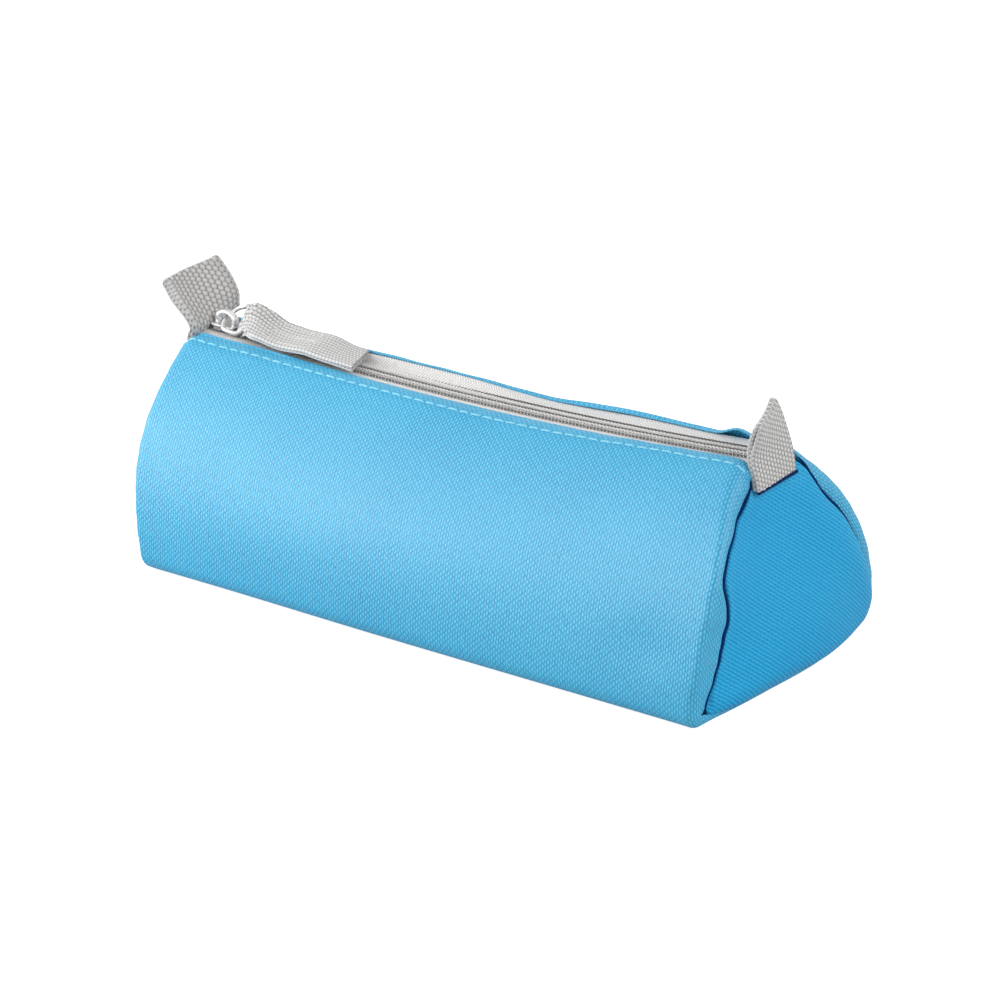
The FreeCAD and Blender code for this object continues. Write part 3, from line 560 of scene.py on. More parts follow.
# each end of the wrap by share: how far it stands out, the radius at which its cloth rolls into the seam, how
# unsteady that is (size, seed), and how its 150 degree roll falls off (by how much and from what share at the
# mouth, and by how much behind the base's front)
ENDS = {
    LEFT: dict(
        bulge=((-1, 2.2), (-0.9, 0.8), (-0.7, 1.2), (-0.55, 0.2), (-0.45, -0.8), (-0.38, -1.5), (-0.2, 1),
               (0, 2.4), (0.2, 1.8), (0.38, 0.5), (0.5, 2), (0.7, 4), (0.9, 4), (1, 2.5)),
        lip=((-1, 7), (-0.94, 4.6), (-0.88, 3), (-0.8, 2.5), (-0.4, 2), (0, 1.8), (0.4, 2.4), (0.6, 3.5),
             (0.8, 4), (1, 4)),
        wobble=(0.25, 4), roll=(50, 0.86, 0)),
    RIGHT: dict(
        bulge=((-1, 0.6), (-0.92, 1.6), (-0.87, 2.2), (-0.8, 3.9), (-0.73, 5.1), (-0.68, 6.2), (-0.63, 6.6),
               (-0.58, 5.8), (-0.52, 5.2), (-0.46, 4.4), (-0.39, 3.3), (-0.3, 2.9), (-0.2, 3.8), (-0.1, 5),
               (0, 6), (0.2, 5.2), (0.3, 3.6), (0.38, 2.5), (0.5, 4.8), (0.6, 6.8), (0.7, 7.4), (0.8, 6.5),
               (0.9, 4.2), (1, 1.6)),
        lip=((-1, 5.5), (-0.94, 4.6), (-0.88, 3.3), (-0.8, 2.4), (-0.75, 2), (-0.7, 2.2), (-0.64, 5),
             (-0.56, 5.8), (-0.46, 4.8), (-0.38, 2.8), (-0.3, 1.6), (0, 1.1), (0.36, 1.4), (0.5, 2.2),
             (0.62, 3.6), (0.8, 4.2), (0.92, 5), (1, 9)),
        wobble=(0.2, 3), roll=(78, 0.84, 35)),
}


def lip_path(end, q):
    """The lip's way round the edge, from the flat cloth into the seam: distances outward and inward, by station."""
    fall, begin, ease = ENDS[end]["roll"]
    roll = np.radians(150 - fall * ramp(abs(q), begin, 1) - ease * ramp(q, -0.44, -0.24))[:, None]
    size, seed = ENDS[end]["wobble"]
    radius = size * wander(q * 14, seed=seed) * ramp(0.95 - abs(q), 0, 0.1) + keyed(q, *ENDS[end]["lip"])
    # how much of the lip is a flat facet between two bends instead of one round roll
    share = keyed(q, (-0.69, 0), (-0.64, 0.7), (-0.58, 1), (-0.48, 1), (-0.41, 0.3), (-0.36, 0))[:, None] * (end > 0)
    part = np.linspace(0, 1, LIP_STATIONS + 1)
    facet = np.radians(keyed(part, (0, 0), (0.2, 74), (0.74, 88), (1, 150)))
    angle = roll * part * (1 - share) + facet * share
    step = radius[:, None] * roll * (1 - 0.16 * share) / LIP_STATIONS
    mid = (angle[:, 1:] + angle[:, :-1]) / 2
    return [np.pad(np.cumsum(f(mid) * step, axis=1), ((0, 0), (1, 0))) for f in (np.cos, np.sin)]


def wrap_relief(x, q, along, from_mouth, from_ends):
    """How far the cloth stands out from its plain loft: slack, creases and puckers."""
    out = 0.35 * wander(x / 26, along / 19, seed=11)
    out = out + 0.9 * bell(x, -5, 45) * bell(q, -0.62, 0.16)
    out = out - 0.7 * bell(x, 84, 10) * bell(q, -0.52, 0.06)
    pucker = np.sin(along * tau / 7.5 + 2 * np.sin(along / 9))
    for near, seed in zip(from_ends, (5, 6)):
        out = out + (0.1 * pucker + 0.16 * wander(along / 5, near / 8, seed=seed)) * np.exp(-near / 7)
    stitch = np.cos((x - MIDDLE_X) * tau / STITCH_PITCH)
    out = out + (-0.1 - 0.08 * stitch) * bell(from_mouth, STITCH_IN, 0.8) * (q < 0)
    out = out + 0.12 * wander(x / 3.5, along / 6, seed=9) * np.exp(-from_mouth / 5)
    return out * ramp(from_mouth, 0, 0.8) * ramp(abs(q), 0.28, 0.42)


def grid_normals(grid):
    return unit(np.cross(np.gradient(grid, axis=0), np.gradient(grid, axis=1)))


def across_lengths(grid):
    return lengths(np.swapaxes(grid, 0, 1)).T


def make_wrap():
    """The outer face as a grid from the front mouth edge round to the rear one and from left to right. With it come
    its normals, the distance round, the share (see section) and the distance from the nearer mouth edge."""
    t = join(-np.ones(LIP_STATIONS), np.linspace(-1, 1, STATIONS), np.ones(LIP_STATIONS))
    p, n, q = section(t)
    x, lips = {}, {}
    for end, column in COLUMN.items():
        lips[end] = lip_path(end, q[:, column])
        stand = HALF_BASE + keyed(q, *ENDS[end]["bulge"]) + LEAN[end] * p[..., 1]
        x[end] = end * (stand - lips[end][0].max(axis=1)[:, None])
    share = (t + 1) / 2
    grid = np.stack([x[LEFT] * (1 - share) + x[RIGHT] * share, p[..., 0], p[..., 1]], -1)
    for k in range(LIP_STATIONS):
        for end, column in ((LEFT, k), (RIGHT, -1 - k)):
            outward, inward = (a[:, LIP_STATIONS - k] for a in lips[end])
            grid[:, column, 0] += end * outward
            grid[:, column, 1:] -= n[:, column] * inward[:, None]
    x = grid[..., 0]
    along = lengths(grid).mean(axis=1)[:, None] + 0 * x
    from_mouth = np.minimum(along - along[0], along[-1] - along)
    run = across_lengths(grid)
    out = wrap_relief(x, q, along, from_mouth, (run, run[:, -1:] - run))
    grid = grid + grid_normals(grid) * out[..., None]
    # the rear edge arches up just before the right loop
    grid[..., 2] += 2 * hump(x, 69, 85) * ramp(q, 0.93, 1)
    return grid, grid_normals(grid), along, q, from_mouth


WRAP, WRAP_N, WRAP_V, WRAP_Q, FROM_MOUTH = make_wrap()


def add_wrap():
    rows, columns = WRAP.shape[:2]
    thick = CLOTH * (0.55 + 0.45 * ramp(FROM_MOUTH, 1.5, 8))[..., None]
    inner = WRAP - WRAP_N * thick
    run = across_lengths(WRAP)
    uv = np.stack([run - run[:, columns // 2, None], WRAP_V], -1)
    points, uvs = [WRAP, inner], [uv, uv + [0, 300]]
    faces = [quads(rows, columns), quads(rows, columns, start=rows * columns, flip=True)]
    # the folded mouth edges, rounded by four lines of points
    start, line = 2 * rows * columns, np.arange(columns)
    for row, inward in ((0, 1), (rows - 1, -1)):
        mid = (WRAP[row] + inner[row]) / 2
        for k, a in enumerate(np.linspace(0, pi, 6)[1:-1]):
            points.append(mid + (WRAP_N[row] * cos(a) + np.array([0, inward, 0]) * sin(a)) * thick[row] / 2)
            uvs.append(uv[row] + [0, k * 0.5])
        chain = [line + k for k in (row * columns, *(start + k * columns for k in range(4)), (rows + row) * columns)]
        for a, b in zip(chain, chain[1:]):
            f = np.stack([a[:-1], b[:-1], b[1:], a[1:]], -1)
            faces.append(f[:, ::-1] if row == 0 else f)
        start += 4 * columns
    for column in (0, columns - 1):
        a = np.arange(rows) * columns + column
        faces.append(strip(a, a + rows * columns, flip=column == 0))
    points, uvs = (join(*[p.reshape(-1, p.shape[-1]) for p in block]) for block in (points, uvs))
    add_mesh("wrap_cloth", points, faces, uvs, CASE_CLOTH, ("main_panel",))


# ---- the end panels and their bindings ----

# each panel by share: how wide its rounded shoulder is, and how high it rises
PANELS = {
    LEFT: (((-1, 3), (-0.4, 3), (0.4, 4), (0.9, 5), (1, 3)),
           ((-1, 1.4), (-0.4, 2), (0.4, 2.4), (0.9, 2.8), (1, 1.5))),
    RIGHT: (((-1, 3), (-0.9, 2.6), (-0.45, 2.6), (-0.3, 5), (0.3, 6), (0.5, 8), (0.9, 9), (1, 5)),
            ((-1, 0.4), (-0.9, 1), (-0.45, 1.2), (-0.3, 2.4), (0.3, 3.2), (0.5, 3.2), (0.85, 2.4), (1, 0.6))),
}


def rim(end):
    """The end seam's closed line, each point's share and its direction into the cloth: the wrap's rolled edge, and
    across the zip's end from rear to front."""
    line, q = WRAP[:, COLUMN[end]], WRAP_Q[:, COLUMN[end]]
    inward = np.insert(-section(np.array([float(end)]))[1][:, 0], 0, 0, axis=1)
    bridge = np.linspace(0, 1, 14)[1:-1, None]
    top = line[-1] * (1 - bridge) + line[0] * bridge - [0, 0, 0.6]
    return (join(line, top), np.append(q, np.ones(len(top))),
            join(inward, np.tile([0, 0, -1], (len(top), 1))))


def add_end_panel(end, name, node):
    """A pillowed panel: its depth is a smooth blend of the seam line's, plus a rounded shoulder."""
    line, q, _ = rim(end)
    centre = np.array([0, 27])
    # points where the line doubles back, seen from the centre, would fold the panel: they are left out
    turn = np.unwrap(np.arctan2(line[:, 2] - centre[1], line[:, 1]))
    turn = turn * np.sign(turn[-1] - turn[0])
    keep = (turn >= np.maximum.accumulate(turn)) & (turn <= np.minimum.accumulate(turn[::-1])[::-1])
    line, q = line[keep], q[keep]
    n = len(line)
    steps = join(0.3 * np.linspace(0, 1, 34)[:-1] ** 1.7, np.linspace(0.3, 0.97, 26))
    flat = line[:, 1:] + (centre - line[:, 1:]) * steps[:, None, None]
    y, z = flat[..., 0], flat[..., 1]
    closed = join(line, line[:1])
    run = lengths(closed)
    at = np.arange(0, run[-1], 0.25)
    near, q = look_up(at, run, closed), np.interp(at, run, np.append(q, 1))
    shoulder, rise = (keyed(q, *pairs) for pairs in PANELS[end])
    away = np.sqrt((y[..., None] - near[:, 1]) ** 2 + (z[..., None] - near[:, 2]) ** 2) + 0.02
    pull = 0.25 / away**3
    total = pull.sum(-1)
    distance = np.sqrt(2 / total)

    def blend(values):
        return (pull * values).sum(-1) / total

    wide = blend(shoulder)
    up = blend(rise) * np.sqrt(np.maximum(0, 1 - (1 - np.minimum(distance / wide, 1)) ** 2))
    dome = 1.2 * (1 - np.exp(-distance / 14))
    ridge = -0.35 * hump(distance, wide * 0.9, wide * 0.9 + 5) * blend(1 * (q < -0.4))
    slack = 0.3 * wander(y / 17, z / 13, seed=31 + end) * ramp(distance, 2, 14)
    ripple = 0.16 * wander(y / 3.1, z / 3.7, seed=21 + end) * np.exp(-distance / 4) * ramp(distance, 0.3, 2)
    slot = (ramp(q, -0.97, -0.9) * ramp(-0.39 - q, 0, 0.06) + ramp(q, 0.45, 0.55)) * (end > 0)
    groove = -3 * (1 - ramp(distance, 0.6, 1.4)) * blend(slot)
    dent = -2.2 * ramp(z, 53, 61) * ramp(14 - abs(y), 0, 4)
    x = blend(near[:, 0]) + end * (up + dome + ridge + slack + ripple + groove + dent)
    x[0] = line[:, 0] - end * 0.4
    grid = stack(x, y, z)
    outer = join(grid.reshape(-1, 3), [grid[-1].mean(axis=0)])
    points = join(outer, outer - [end * 0.9, 0, 0])
    m, count, flip, ring = len(steps), len(outer), end < 0, np.arange(n)
    middle = [fan(ring + (m - 1) * n, m * n, flip=flip), fan(ring + (m - 1) * n, m * n, flip=not flip) + count]
    after = np.roll(ring, -1)
    edge = np.stack([ring, after, after + count, ring + count], -1)
    faces = [quads(m, n, around=True, flip=not flip), quads(m, n, around=True, start=count, flip=flip),
             edge if flip else edge[:, ::-1]]
    add_mesh(name, points, middle + faces, points[:, 1:], END_CLOTH, (node,))


def add_binding(end, side):
    """Tape folded over the raw edges inside the seam, dark tubes of painted shade in the seam's crevice and under
    the right loop's base, and the tape's stitches.
    """
    edge, q, toward = rim(end)
    keep = np.linspace(0, len(edge) - 1, 150).astype(int)
    inward = unit(toward[keep] + 1e-9)
    path = edge[keep] - [end * 4.6, 0, 0] + inward * 2.2
    turn = np.linspace(0, tau, 17)[:-1]
    wide = 3.4 * np.sign(np.cos(turn)) * abs(np.cos(turn)) ** 0.5
    thick = 0.9 * np.sign(np.sin(turn)) * abs(np.sin(turn)) ** 0.7
    grid = path[:, None] + stack(wide, 0, 0) + thick[:, None] * inward[:, None]
    along = lengths(path)
    faces = [quads(len(path), len(turn), ring=True, around=True)]
    parts = Parts().add(grid, faces, stack(along[:, None], turn * 1.5))
    # painted shade: dark tubes of the binding's colour lie in the seam's crevice and under the right loop's base,
    # where only shade falls
    for low, high, radius in ((-0.96, -0.37, 0.72), (0.42, 0.97, 0.5)):
        k = (q >= low) & (q <= high)
        taper = ramp(q[k] - low, 0, 0.06) * ramp(high - q[k], 0, 0.04)
        swell = 1 + 0.5 * bell(q[k], -0.6, 0.08) * (end > 0)
        line = edge[k] + [end * 0.1, 0, 0] + unit(toward[k]) * 0.5
        parts.add(*tube(line, radius * (0.3 + 0.7 * taper) * swell, 10))
    if end > 0:
        y = np.linspace(-10, 10, 30)
        parts.add(*tube(stack(97.2, y, 56.8 + 0.4 * ramp(y, -10, 10)), 0.5, 8))
    parts.make(f"{side}_binding", "binding", BINDING_AND_SEAM_SHADE, (f"{side}_seam_binding",))
    parts = Parts()
    for start in np.arange(2, along[-1] - 4, 6):
        s = np.linspace(start, start + 3.6, 5)
        parts.add(*tube(look_up(s, along, path) + look_up(s, along, inward), 0.22, 6))
    parts.make(f"{side}_binding_stitches", "inner_thread", CASE_THREAD, (f"{side}_seam_stitches",))


def add_topstitch(side, name, node):
    """Long thread stitches in from the folded edge, each end sinking into the cloth."""
    rows, normals = WRAP[::-side], WRAP_N[::-side]
    depth = lengths(rows)
    line, out = (np.array([look_up(STITCH_IN, depth[:, c], grid[:, c]) for c in range(3, rows.shape[1] - 3)])
                 for grid in (rows, normals))
    out = unit(out)
    along = lengths(line)
    radius, sink = (0.28, 0) if side == FRONT else (0.2, 0.3)
    parts = Parts()
    rng = np.random.default_rng(8 + side)
    start = 1
    while start < along[-1] - 4.2:
        length = 3 + rng.uniform(-0.2, 0.2)
        s = np.linspace(start, start + length, 9)
        rise = 0.16 - 0.36 * (2 * (s - start) / length - 1) ** 10 - sink
        base, lift = look_up(s, along, line), look_up(s, along, out)
        slant = np.cross(tangents(base), lift) * ((s - start) / length - 0.5)[:, None] * rng.uniform(0, 0.15)
        parts.add(*tube(base + lift * rise[:, None] + slant, radius, 8))
        start += STITCH_PITCH
    parts.make(name, "case_thread", CASE_THREAD, (node,))


# ---- zip ----

# at each end the tape runs this far past the base and then curls down
TAPE_PAST, CURL_R, CURL_TURN = {LEFT: 2.2, RIGHT: 1}, {LEFT: 4, RIGHT: 5}, 70


def box_mm(node):
    return [np.array(corner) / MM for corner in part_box(node)]


def zip_line():
    """The tape's top along the zip: x and z, its slope as an angle, and the distance from the middle."""
    left, right = (end * (HALF_BASE + TAPE_PAST[end] + LEAN[end] * MOUTH_Z - CURL_R[end]) for end in (LEFT, RIGHT))
    x = np.arange(left, right, 0.25)
    slope = np.arcsin((x - MIDDLE_X) / TAPE_R)
    z = ARC_Z - TAPE_R * np.cos(slope)
    for end, column in COLUMN.items():
        radius, first = CURL_R[end] - 1.25, slope[column]
        down = first - end * (np.radians(np.arange(0, CURL_TURN, 14 / radius)) + 0.02)
        cx, cz = x[column] + radius * sin(first), z[column] - radius * cos(first)
        curl = cx - radius * np.sin(down), cz + radius * np.cos(down), down
        x, z, slope = (np.concatenate([new[::-1], old] if end == LEFT else [old, new])
                       for new, old in zip(curl, (x, z, slope)))
    along = lengths(stack(x, z))
    return x, z, slope, along - np.interp(MIDDLE_X, x, along)


ZIP_X, ZIP_Z, ZIP_SLOPE, ZIP_S = zip_line()
COIL_HALF, COIL_TOP, COIL_PITCH = 2.3, 0.9, 1.2
COIL_FROM, COIL_TO = np.interp([corner[0] + more for corner, more in zip(box_mm("front_zip_coil"), (0, 4.5))],
                               ZIP_X, ZIP_S)


def on_zip(s, y, up):
    """The point up above the tape's top, y across and s along from the middle."""
    a, x, z = (np.interp(s, ZIP_S, row) for row in (ZIP_SLOPE, ZIP_X, ZIP_Z))
    return stack(x - up * np.sin(a), y, z + up * np.cos(a))


def add_tape(side, name, node):
    """The tape, with grooves beside the coil and at the sewn rib, its outer side led to the cloth's underside."""
    s = np.arange(ZIP_S[0], ZIP_S[-1], 0.4)[:, None] + np.zeros(60)
    t = (np.interp(s, ZIP_S, ZIP_X) + 5) / 102  # the wrap's station beside it
    reach = 11 if side == FRONT else rear_edge(t) + 1.6
    a = 0.45 + (reach - 0.45) * np.linspace(0, 1, 60) + 0 * s
    y = side * a
    h = -0.3 * np.exp(-(((a - 2.7) / 0.4) ** 4)) - 0.25 * bell(a, 5.7, 0.5) * (y > 0)
    if side == FRONT:
        h = h - 1.3 * ramp(a, 9, 11) + front_lift(t) * ramp(a, 4.5, 8)
    else:
        edge, climb = rear_edge(t), 1.25 + rear_lift(t) - 0.55 * CLOTH - 0.12
        h = h + climb * ramp(a, 4.6, edge - 0.4) - 0.8 * ramp(a - edge, 0.5, 2.5)
    n, m = s.shape
    loop = join(on_zip(s, y, h), on_zip(s, y, h - 0.6)[:, ::-1], axis=1)
    uv = join(stack(s, y), stack(s, y[:, ::-1] + 40), axis=1)
    faces, line = [quads(n, 2 * m, around=True, flip=side > 0)], np.arange(m)
    for row in (0, n - 1):
        first = row * 2 * m
        faces.append(strip(first + line, first + 2 * m - 1 - line, flip=(row == 0) != (side > 0)))
    add_mesh(name, loop, faces, uv, TAPE, (node,))


def add_coil(side, name, node):
    """One half of the closed chain: a continuous filament wound flat, its heads meshing with the other half."""
    phase = np.arange(0, (COIL_TO - COIL_FROM) / COIL_PITCH, 1 / 16) * tau
    radius = 0.28
    inner, outer = -0.28, COIL_HALF - radius
    mid, reach = (inner + outer) / 2, (outer - inner) / 2
    high = (COIL_TOP - 2 * radius) / 2
    y = mid - reach * np.cos(phase)
    up = 0.02 + radius + high - high * np.sin(phase)
    up = up - 0.12 * ramp(abs(y - mid) / reach, 0.6, 1) * (np.sin(phase) < 0)
    offset = 0 if side == FRONT else COIL_PITCH / 2
    s = COIL_FROM + offset + phase / (tau) * COIL_PITCH + 0.16 * np.sin(2 * phase)
    wide = radius * (1 + 0.14 * bell(np.cos(phase), 1, 0.1**0.5))
    Parts().add(*tube(on_zip(s, side * y, up), wide, 8)).make(name, "zip_coil", COIL, (node,))


def add_cord_and_stitching(side, word):
    """The cord inside the coil and the thread in the grooves, dark grey as painted shade of the gaps and grooves,
    and the pale stitches over the coil.
    """
    s = np.arange(COIL_FROM, COIL_TO, 0.5)
    w = np.linspace(0, 1, 6)
    arch = np.sin(pi * w)
    # painted shade: the cord, the groove threads and the rear rib's dots are dark grey, so the gaps between the
    # coil's turns, the grooves and the rib read as shaded
    sunk, over = Parts(), Parts()
    sunk.add(*tube(on_zip(s, side * 1.3, 0.56), 0.24, 8))
    sunk.add(*tube(on_zip(s, side * 2.6, 0.3), 0.27, 8))
    for k in range(int((COIL_TO - COIL_FROM) / COIL_PITCH) - 1):
        c = COIL_FROM + (0 if side == FRONT else COIL_PITCH / 2) + k * COIL_PITCH
        sunk.add(*tube(on_zip(c + 0.1 + 0.5 * w, side * (0.14 + 0.1 * w), COIL_TOP - 0.02), 0.2, 6))
        if side == REAR:
            sunk.add(*tube(on_zip(c + 0.15 + 0.65 * w, 5.3 + 0.8 * w, 0.1 * arch), 0.2, 6))
        over.add(*tube(on_zip(c + 1.35 * w, side * (1.15 + 0.75 * w), COIL_TOP - 0.05 + 0.14 * arch), 0.33, 6))
        over.add(*tube(on_zip(c + 0.1 + 0.4 * w, side * (2.3 + 0.8 * w), 0.62 - 0.5 * w), 0.15, 6))
    sunk.make(f"{word}_filler_cord", "coil_cord", GROOVE_SHADE_THREAD, (f"{word}_coil_cord",))
    over.make(f"{word}_coil_threads", "zip_thread", ZIP_THREAD, (f"{word}_coil_stitching",))


# ---- slider, ring, pull ----


def turned(x, y, z, angle):
    """A place at a point, pitched about Y so that +X points up by that angle."""
    return Matrix.Translation((x, y, z)) @ Matrix.Rotation(-angle, 4, "Y")


def mirrored(half):
    """An outline's corners from those on its +Y side."""
    return half + [(x, -y) for x, y in half[::-1]]


def smooth_outline(corners, count):
    """A closed Catmull-Rom curve through corners, evenly spaced."""
    p0, p1, p2, p3 = (np.roll(corners, 1 - k, axis=0)[:, None] for k in range(4))
    t = np.linspace(0, 1, 24, endpoint=False)[:, None]
    curve = 2 * p1 + (p2 - p0) * t + (2 * p0 - 5 * p1 + 4 * p2 - p3) * t**2 + (3 * p1 - p0 - 3 * p2 + p3) * t**3
    curve = join(0.5 * curve.reshape(-1, 2), p1[0])
    s = lengths(curve)
    return look_up(np.linspace(0, s[-1], count, endpoint=False), s, curve)


def plate(outline, low, high, bevel):
    """A solid from a closed outline, between two heights, with rounded edges."""
    tangent = ring_tangents(outline)
    inward = stack(-tangent[:, 1], tangent[:, 0])
    bend = [(bevel * (1 - sin(a)), bevel * (1 - cos(a))) for a in np.linspace(0, pi / 2, 5)]
    levels = [(bevel + 0.6, low)] + [(inset, low + z) for inset, z in bend]
    levels += [(inset, high - z) for inset, z in bend[::-1]] + [(bevel + 0.6, high)]
    rings = [stack(*(outline + inward * inset).T, z) for inset, z in levels]
    n, m = len(outline), len(levels)
    points = np.concatenate(rings + [[[*outline.mean(0), z]] for z in (low, high)])
    ring = np.arange(n)
    return points, [quads(m, n, around=True, flip=True), fan(ring, m * n, flip=True),
                    fan(ring + (m - 1) * n, m * n + 1)]


def add_slider():
    """Cast slider: two plates joined at the nose by a post, flanges down the sides, and a crown for the ring."""
    low, high = box_mm("slider_body")
    x = (low[0] + high[0]) / 2 - 0.025
    angle = asin((x - MIDDLE_X) / TAPE_R)
    half = 4.75
    parts = Parts()
    shape = [(half - 0.7, 2), (half - 1.4, 3.55), (0.4, 3.7), (-half + 2, 4.1), (-half + 0.5, 3.5), (-half, 1.9)]
    corners = shape + [(-half + 0.35, 0)] + mirrored(shape)[6:] + [(half - 0.6, 0)]
    outline = smooth_outline(corners, 96) * [1, 0.86]
    parts.add(*plate(outline, 1.4, 2.15, 0.3))
    parts.add(*plate(outline * 0.985, -1.84, -0.92, 0.35))
    wall = np.array([(half - 0.8, 2.95), (0.2, 3.05), (2.2 - half, 3.4), (2.2 - half, 2.9), (0.2, 2.6),
                     (half - 0.8, 2.55)])
    for side in (-1, 1):
        parts.add(*plate(smooth_outline((wall * [1, side])[::side], 60), 0.45, 1.8, 0.18))
    post = [(-half + 0.5, 0), (-half + 1, 0.62), (-half + 1.8, 0.5), (-half + 2.4, 0), (-half + 1.8, -0.5),
            (-half + 1, -0.62)]
    parts.add(*plate(smooth_outline(post, 40)[::-1], -1.3, 2, 0.12))
    # crown: a bridge along the plate with a broad, rounded front leg, open at the sides for the ring
    t = np.linspace(0, 1, 61)
    bridge = stack(keyed(t, (0, -2.9), (0.3, -2.7), (0.5, -1.2), (0.72, 1.5), (0.88, 2.9), (1, 3.3)), 0,
                   keyed(t, (0, 2), (0.18, 3.2), (0.34, 4.6), (0.52, 5.6), (0.72, 5.45), (0.88, 4.2), (1, 2)))
    thick = keyed(t, (0, 2.6), (0.18, 3.2), (0.34, 2.5), (0.52, 1.4), (0.72, 1.1), (0.88, 1.2), (1, 1.5))
    wide = keyed(t, (0, 1.5), (0.2, 1.9), (0.4, 1.5), (0.6, 1.2), (0.8, 1.3), (1, 1.6))
    parts.add(*ribbon(bridge, upward(bridge), wide, thick, 14, 9))
    place = turned(x, 0, ARC_Z - TAPE_R * cos(angle), angle)
    parts.make("slider_casting", "slider_metal", METAL, ("slider_body",), "slider", place)


def joint_mm(name):
    return np.array(JOINTS[name]["pos_m"]) / MM


def add_ring():
    """Bent wire: a rounded frame from the crown to the webbing's fold, rolled with its near side down."""
    pivot = joint_mm("ring_swing")
    reach = joint_mm("pull_swing") - pivot
    length = np.linalg.norm(reach)
    half = 5.3
    x, y = smooth_outline(mirrored([(0, 1.4), (0.5, half - 1.8), (1.9, half - 0.4), (length - 1.8, half),
                                    (length - 0.2, half - 1.2), (length, 2.5)]), 140).T
    roll = np.radians(keyed(x, (0, 24), (2, 27), (length, 44)))
    parts = Parts().add(*tube(stack(x, y * np.cos(roll), y * np.sin(roll)), 0.7, 14, closed=True))
    place = turned(*pivot, atan2(reach[2], reach[0]))
    parts.make("ring_wire", "slider_metal", METAL, ("pull_ring",), "ring", place)


# the pull by distance from the ring's bar: its height, and its roll in degrees
PULL_DROP = ((0, 0.5), (4, 0.5), (8, -0.9), (12, -2), (17.5, -2.7), (23, -2.5), (28.5, -2.2), (34.5, -2.9),
             (42, -3.8), (46, -4.2))
PULL_ROLL = ((0, 46), (2, 36), (4.5, 18), (8, 7), (17, 5), (29, 3), (42, 0), (46, 0))
PULL_HALF, PULL_PLY = 7.7, 0.62


def add_pull():
    """The pull: webbing folded round the ring's bar and sewn to itself, rolled with the ring at its fold."""
    bar = joint_mm("pull_swing")
    x = np.arange(bar[0] + 1.6, box_mm("pull_tab")[1][0] + 1.2, 0.16)
    u = x - bar[0]
    gap = 1.3 * np.exp(-(u - 1.6) / 2.6) + 0.12 + 0.3 * ramp(u, 37, 45)
    mid = stack(x, 0, bar[2] + keyed(u, *PULL_DROP))
    up = upward(mid)
    up = up * np.sign(up[:, 2:]) * (PULL_PLY / 2 + gap / 2)[:, None]
    turn = np.radians(np.linspace(300, 60, 24))[1:-1]
    round_bar = stack(bar[0] + 1.1 * np.cos(turn), 0, bar[2] + 1.1 * np.sin(turn))
    path = evened(join((mid - up)[::-1], round_bar, mid + up), 0.16)
    out = upward(path)
    width = 4.8 + 2.9 * ramp(path[:, 0] - bar[0], -1, 9)
    number, fold = np.arange(len(path)), np.argmin(path[:, 0])
    run = lengths(path)
    from_bar = abs(run - run[fold])

    def relief(along, a):
        back, full = from_bar[:, None], a * PULL_HALF / width[:, None]
        sewn = ramp(back, 11.5, 13.5) * ramp(30.5 - back, 0, 2) * (abs(a) < 5.6)
        weave = beads(along, full, 1.3, 1.5) * 0.26 * (1 - 0.35 * sewn) * ramp(7.2 - abs(full), -0.3, 0.4)
        return weave + 0.12 * bell(abs(full), 7.35, 0.3) - 0.12 * sewn

    def bend(points):
        """Roll with the ring, camber, and the slanting cut."""
        points = points.copy()
        u, y = points[:, 0] - bar[0], points[:, 1].copy()
        roll = np.radians(keyed(u, *PULL_ROLL))
        centre = bar[2] + keyed(u, *PULL_DROP)
        points[:, 2] += y * np.sin(roll)
        points[:, 1] = y * np.cos(roll) - (points[:, 2] - centre) * 0.2 * np.sin(roll)
        points[:, 2] += 0.35 * (abs(y) / 7.5) ** 2 * hump(u, 6, 24) - 0.3 * (y / PULL_HALF) ** 4 * hump(u, 22, 46)
        points[:, 0] -= 0.17 * (y + PULL_HALF) * 2 * ramp(u, 30, 46)
        return points

    points, faces, uv = ribbon(path, out, width, PULL_PLY, 104, 5, relief)
    Parts().add(bend(points), faces, uv).make("pull_webbing", "webbing", TAB_WEBBING, ("pull_tab",), "pull")
    # stitches through both plies: a box with a middle line, seen on top and underneath
    parts = Parts()
    lines = [((12.8, y), (29.2, y)) for y in (-5.2, 5.2, 0.4)] + [((u, -5.2), (u, 5.2)) for u in (12.8, 29.2)]
    rise = (PULL_PLY / 2 + 0.12 - 0.25 * np.linspace(-1, 1, 6) ** 4)[:, None]
    for rows in (number[fold + 1:], number[fold::-1]):
        for (u0, y0), (u1, y1) in lines:
            count = int(hypot(u1 - u0, y1 - y0) / 1.9)
            for k in range(count):
                w = (k + np.linspace(0.08, 0.88, 6)) / count
                spot = np.interp(u0 + (u1 - u0) * w, from_bar[rows], rows)
                base = look_up(spot, number, path)
                base[:, 1] = y0 + (y1 - y0) * w
                parts.add(*tube(bend(base + look_up(spot, number, out) * rise), 0.17, 6))
    parts.make("pull_stitches", "webbing_thread", WEB_THREAD, ("pull_tab_stitches",), "pull")


# ---- end loops ----

LOOP_HALF = 10.4


def rib(a, at, half):
    """A corded rib along the webbing on both sides of its middle."""
    return np.sqrt(np.maximum(0, 1 - ((abs(a) - at) / half) ** 2))


def selvedged(along, a):
    """Coarse beads with two corded ribs down each edge."""
    ribs = rib(a, 8.95, 0.48) + rib(a, 9.85, 0.48)
    return 0.34 * beads(along, a, 1.9, 1.6) * ramp(8.3 - abs(a), 0, 0.4) + 0.4 * ribs


def ribbed(along, a):
    """Finer beads in ribs that run up the webbing, with a plain corded edge."""
    return 0.34 * beads(along, a, 1.35, 1.5) * ramp(9.2 - abs(a), 0, 0.5) + 0.24 * rib(a, 9.8, 0.6)


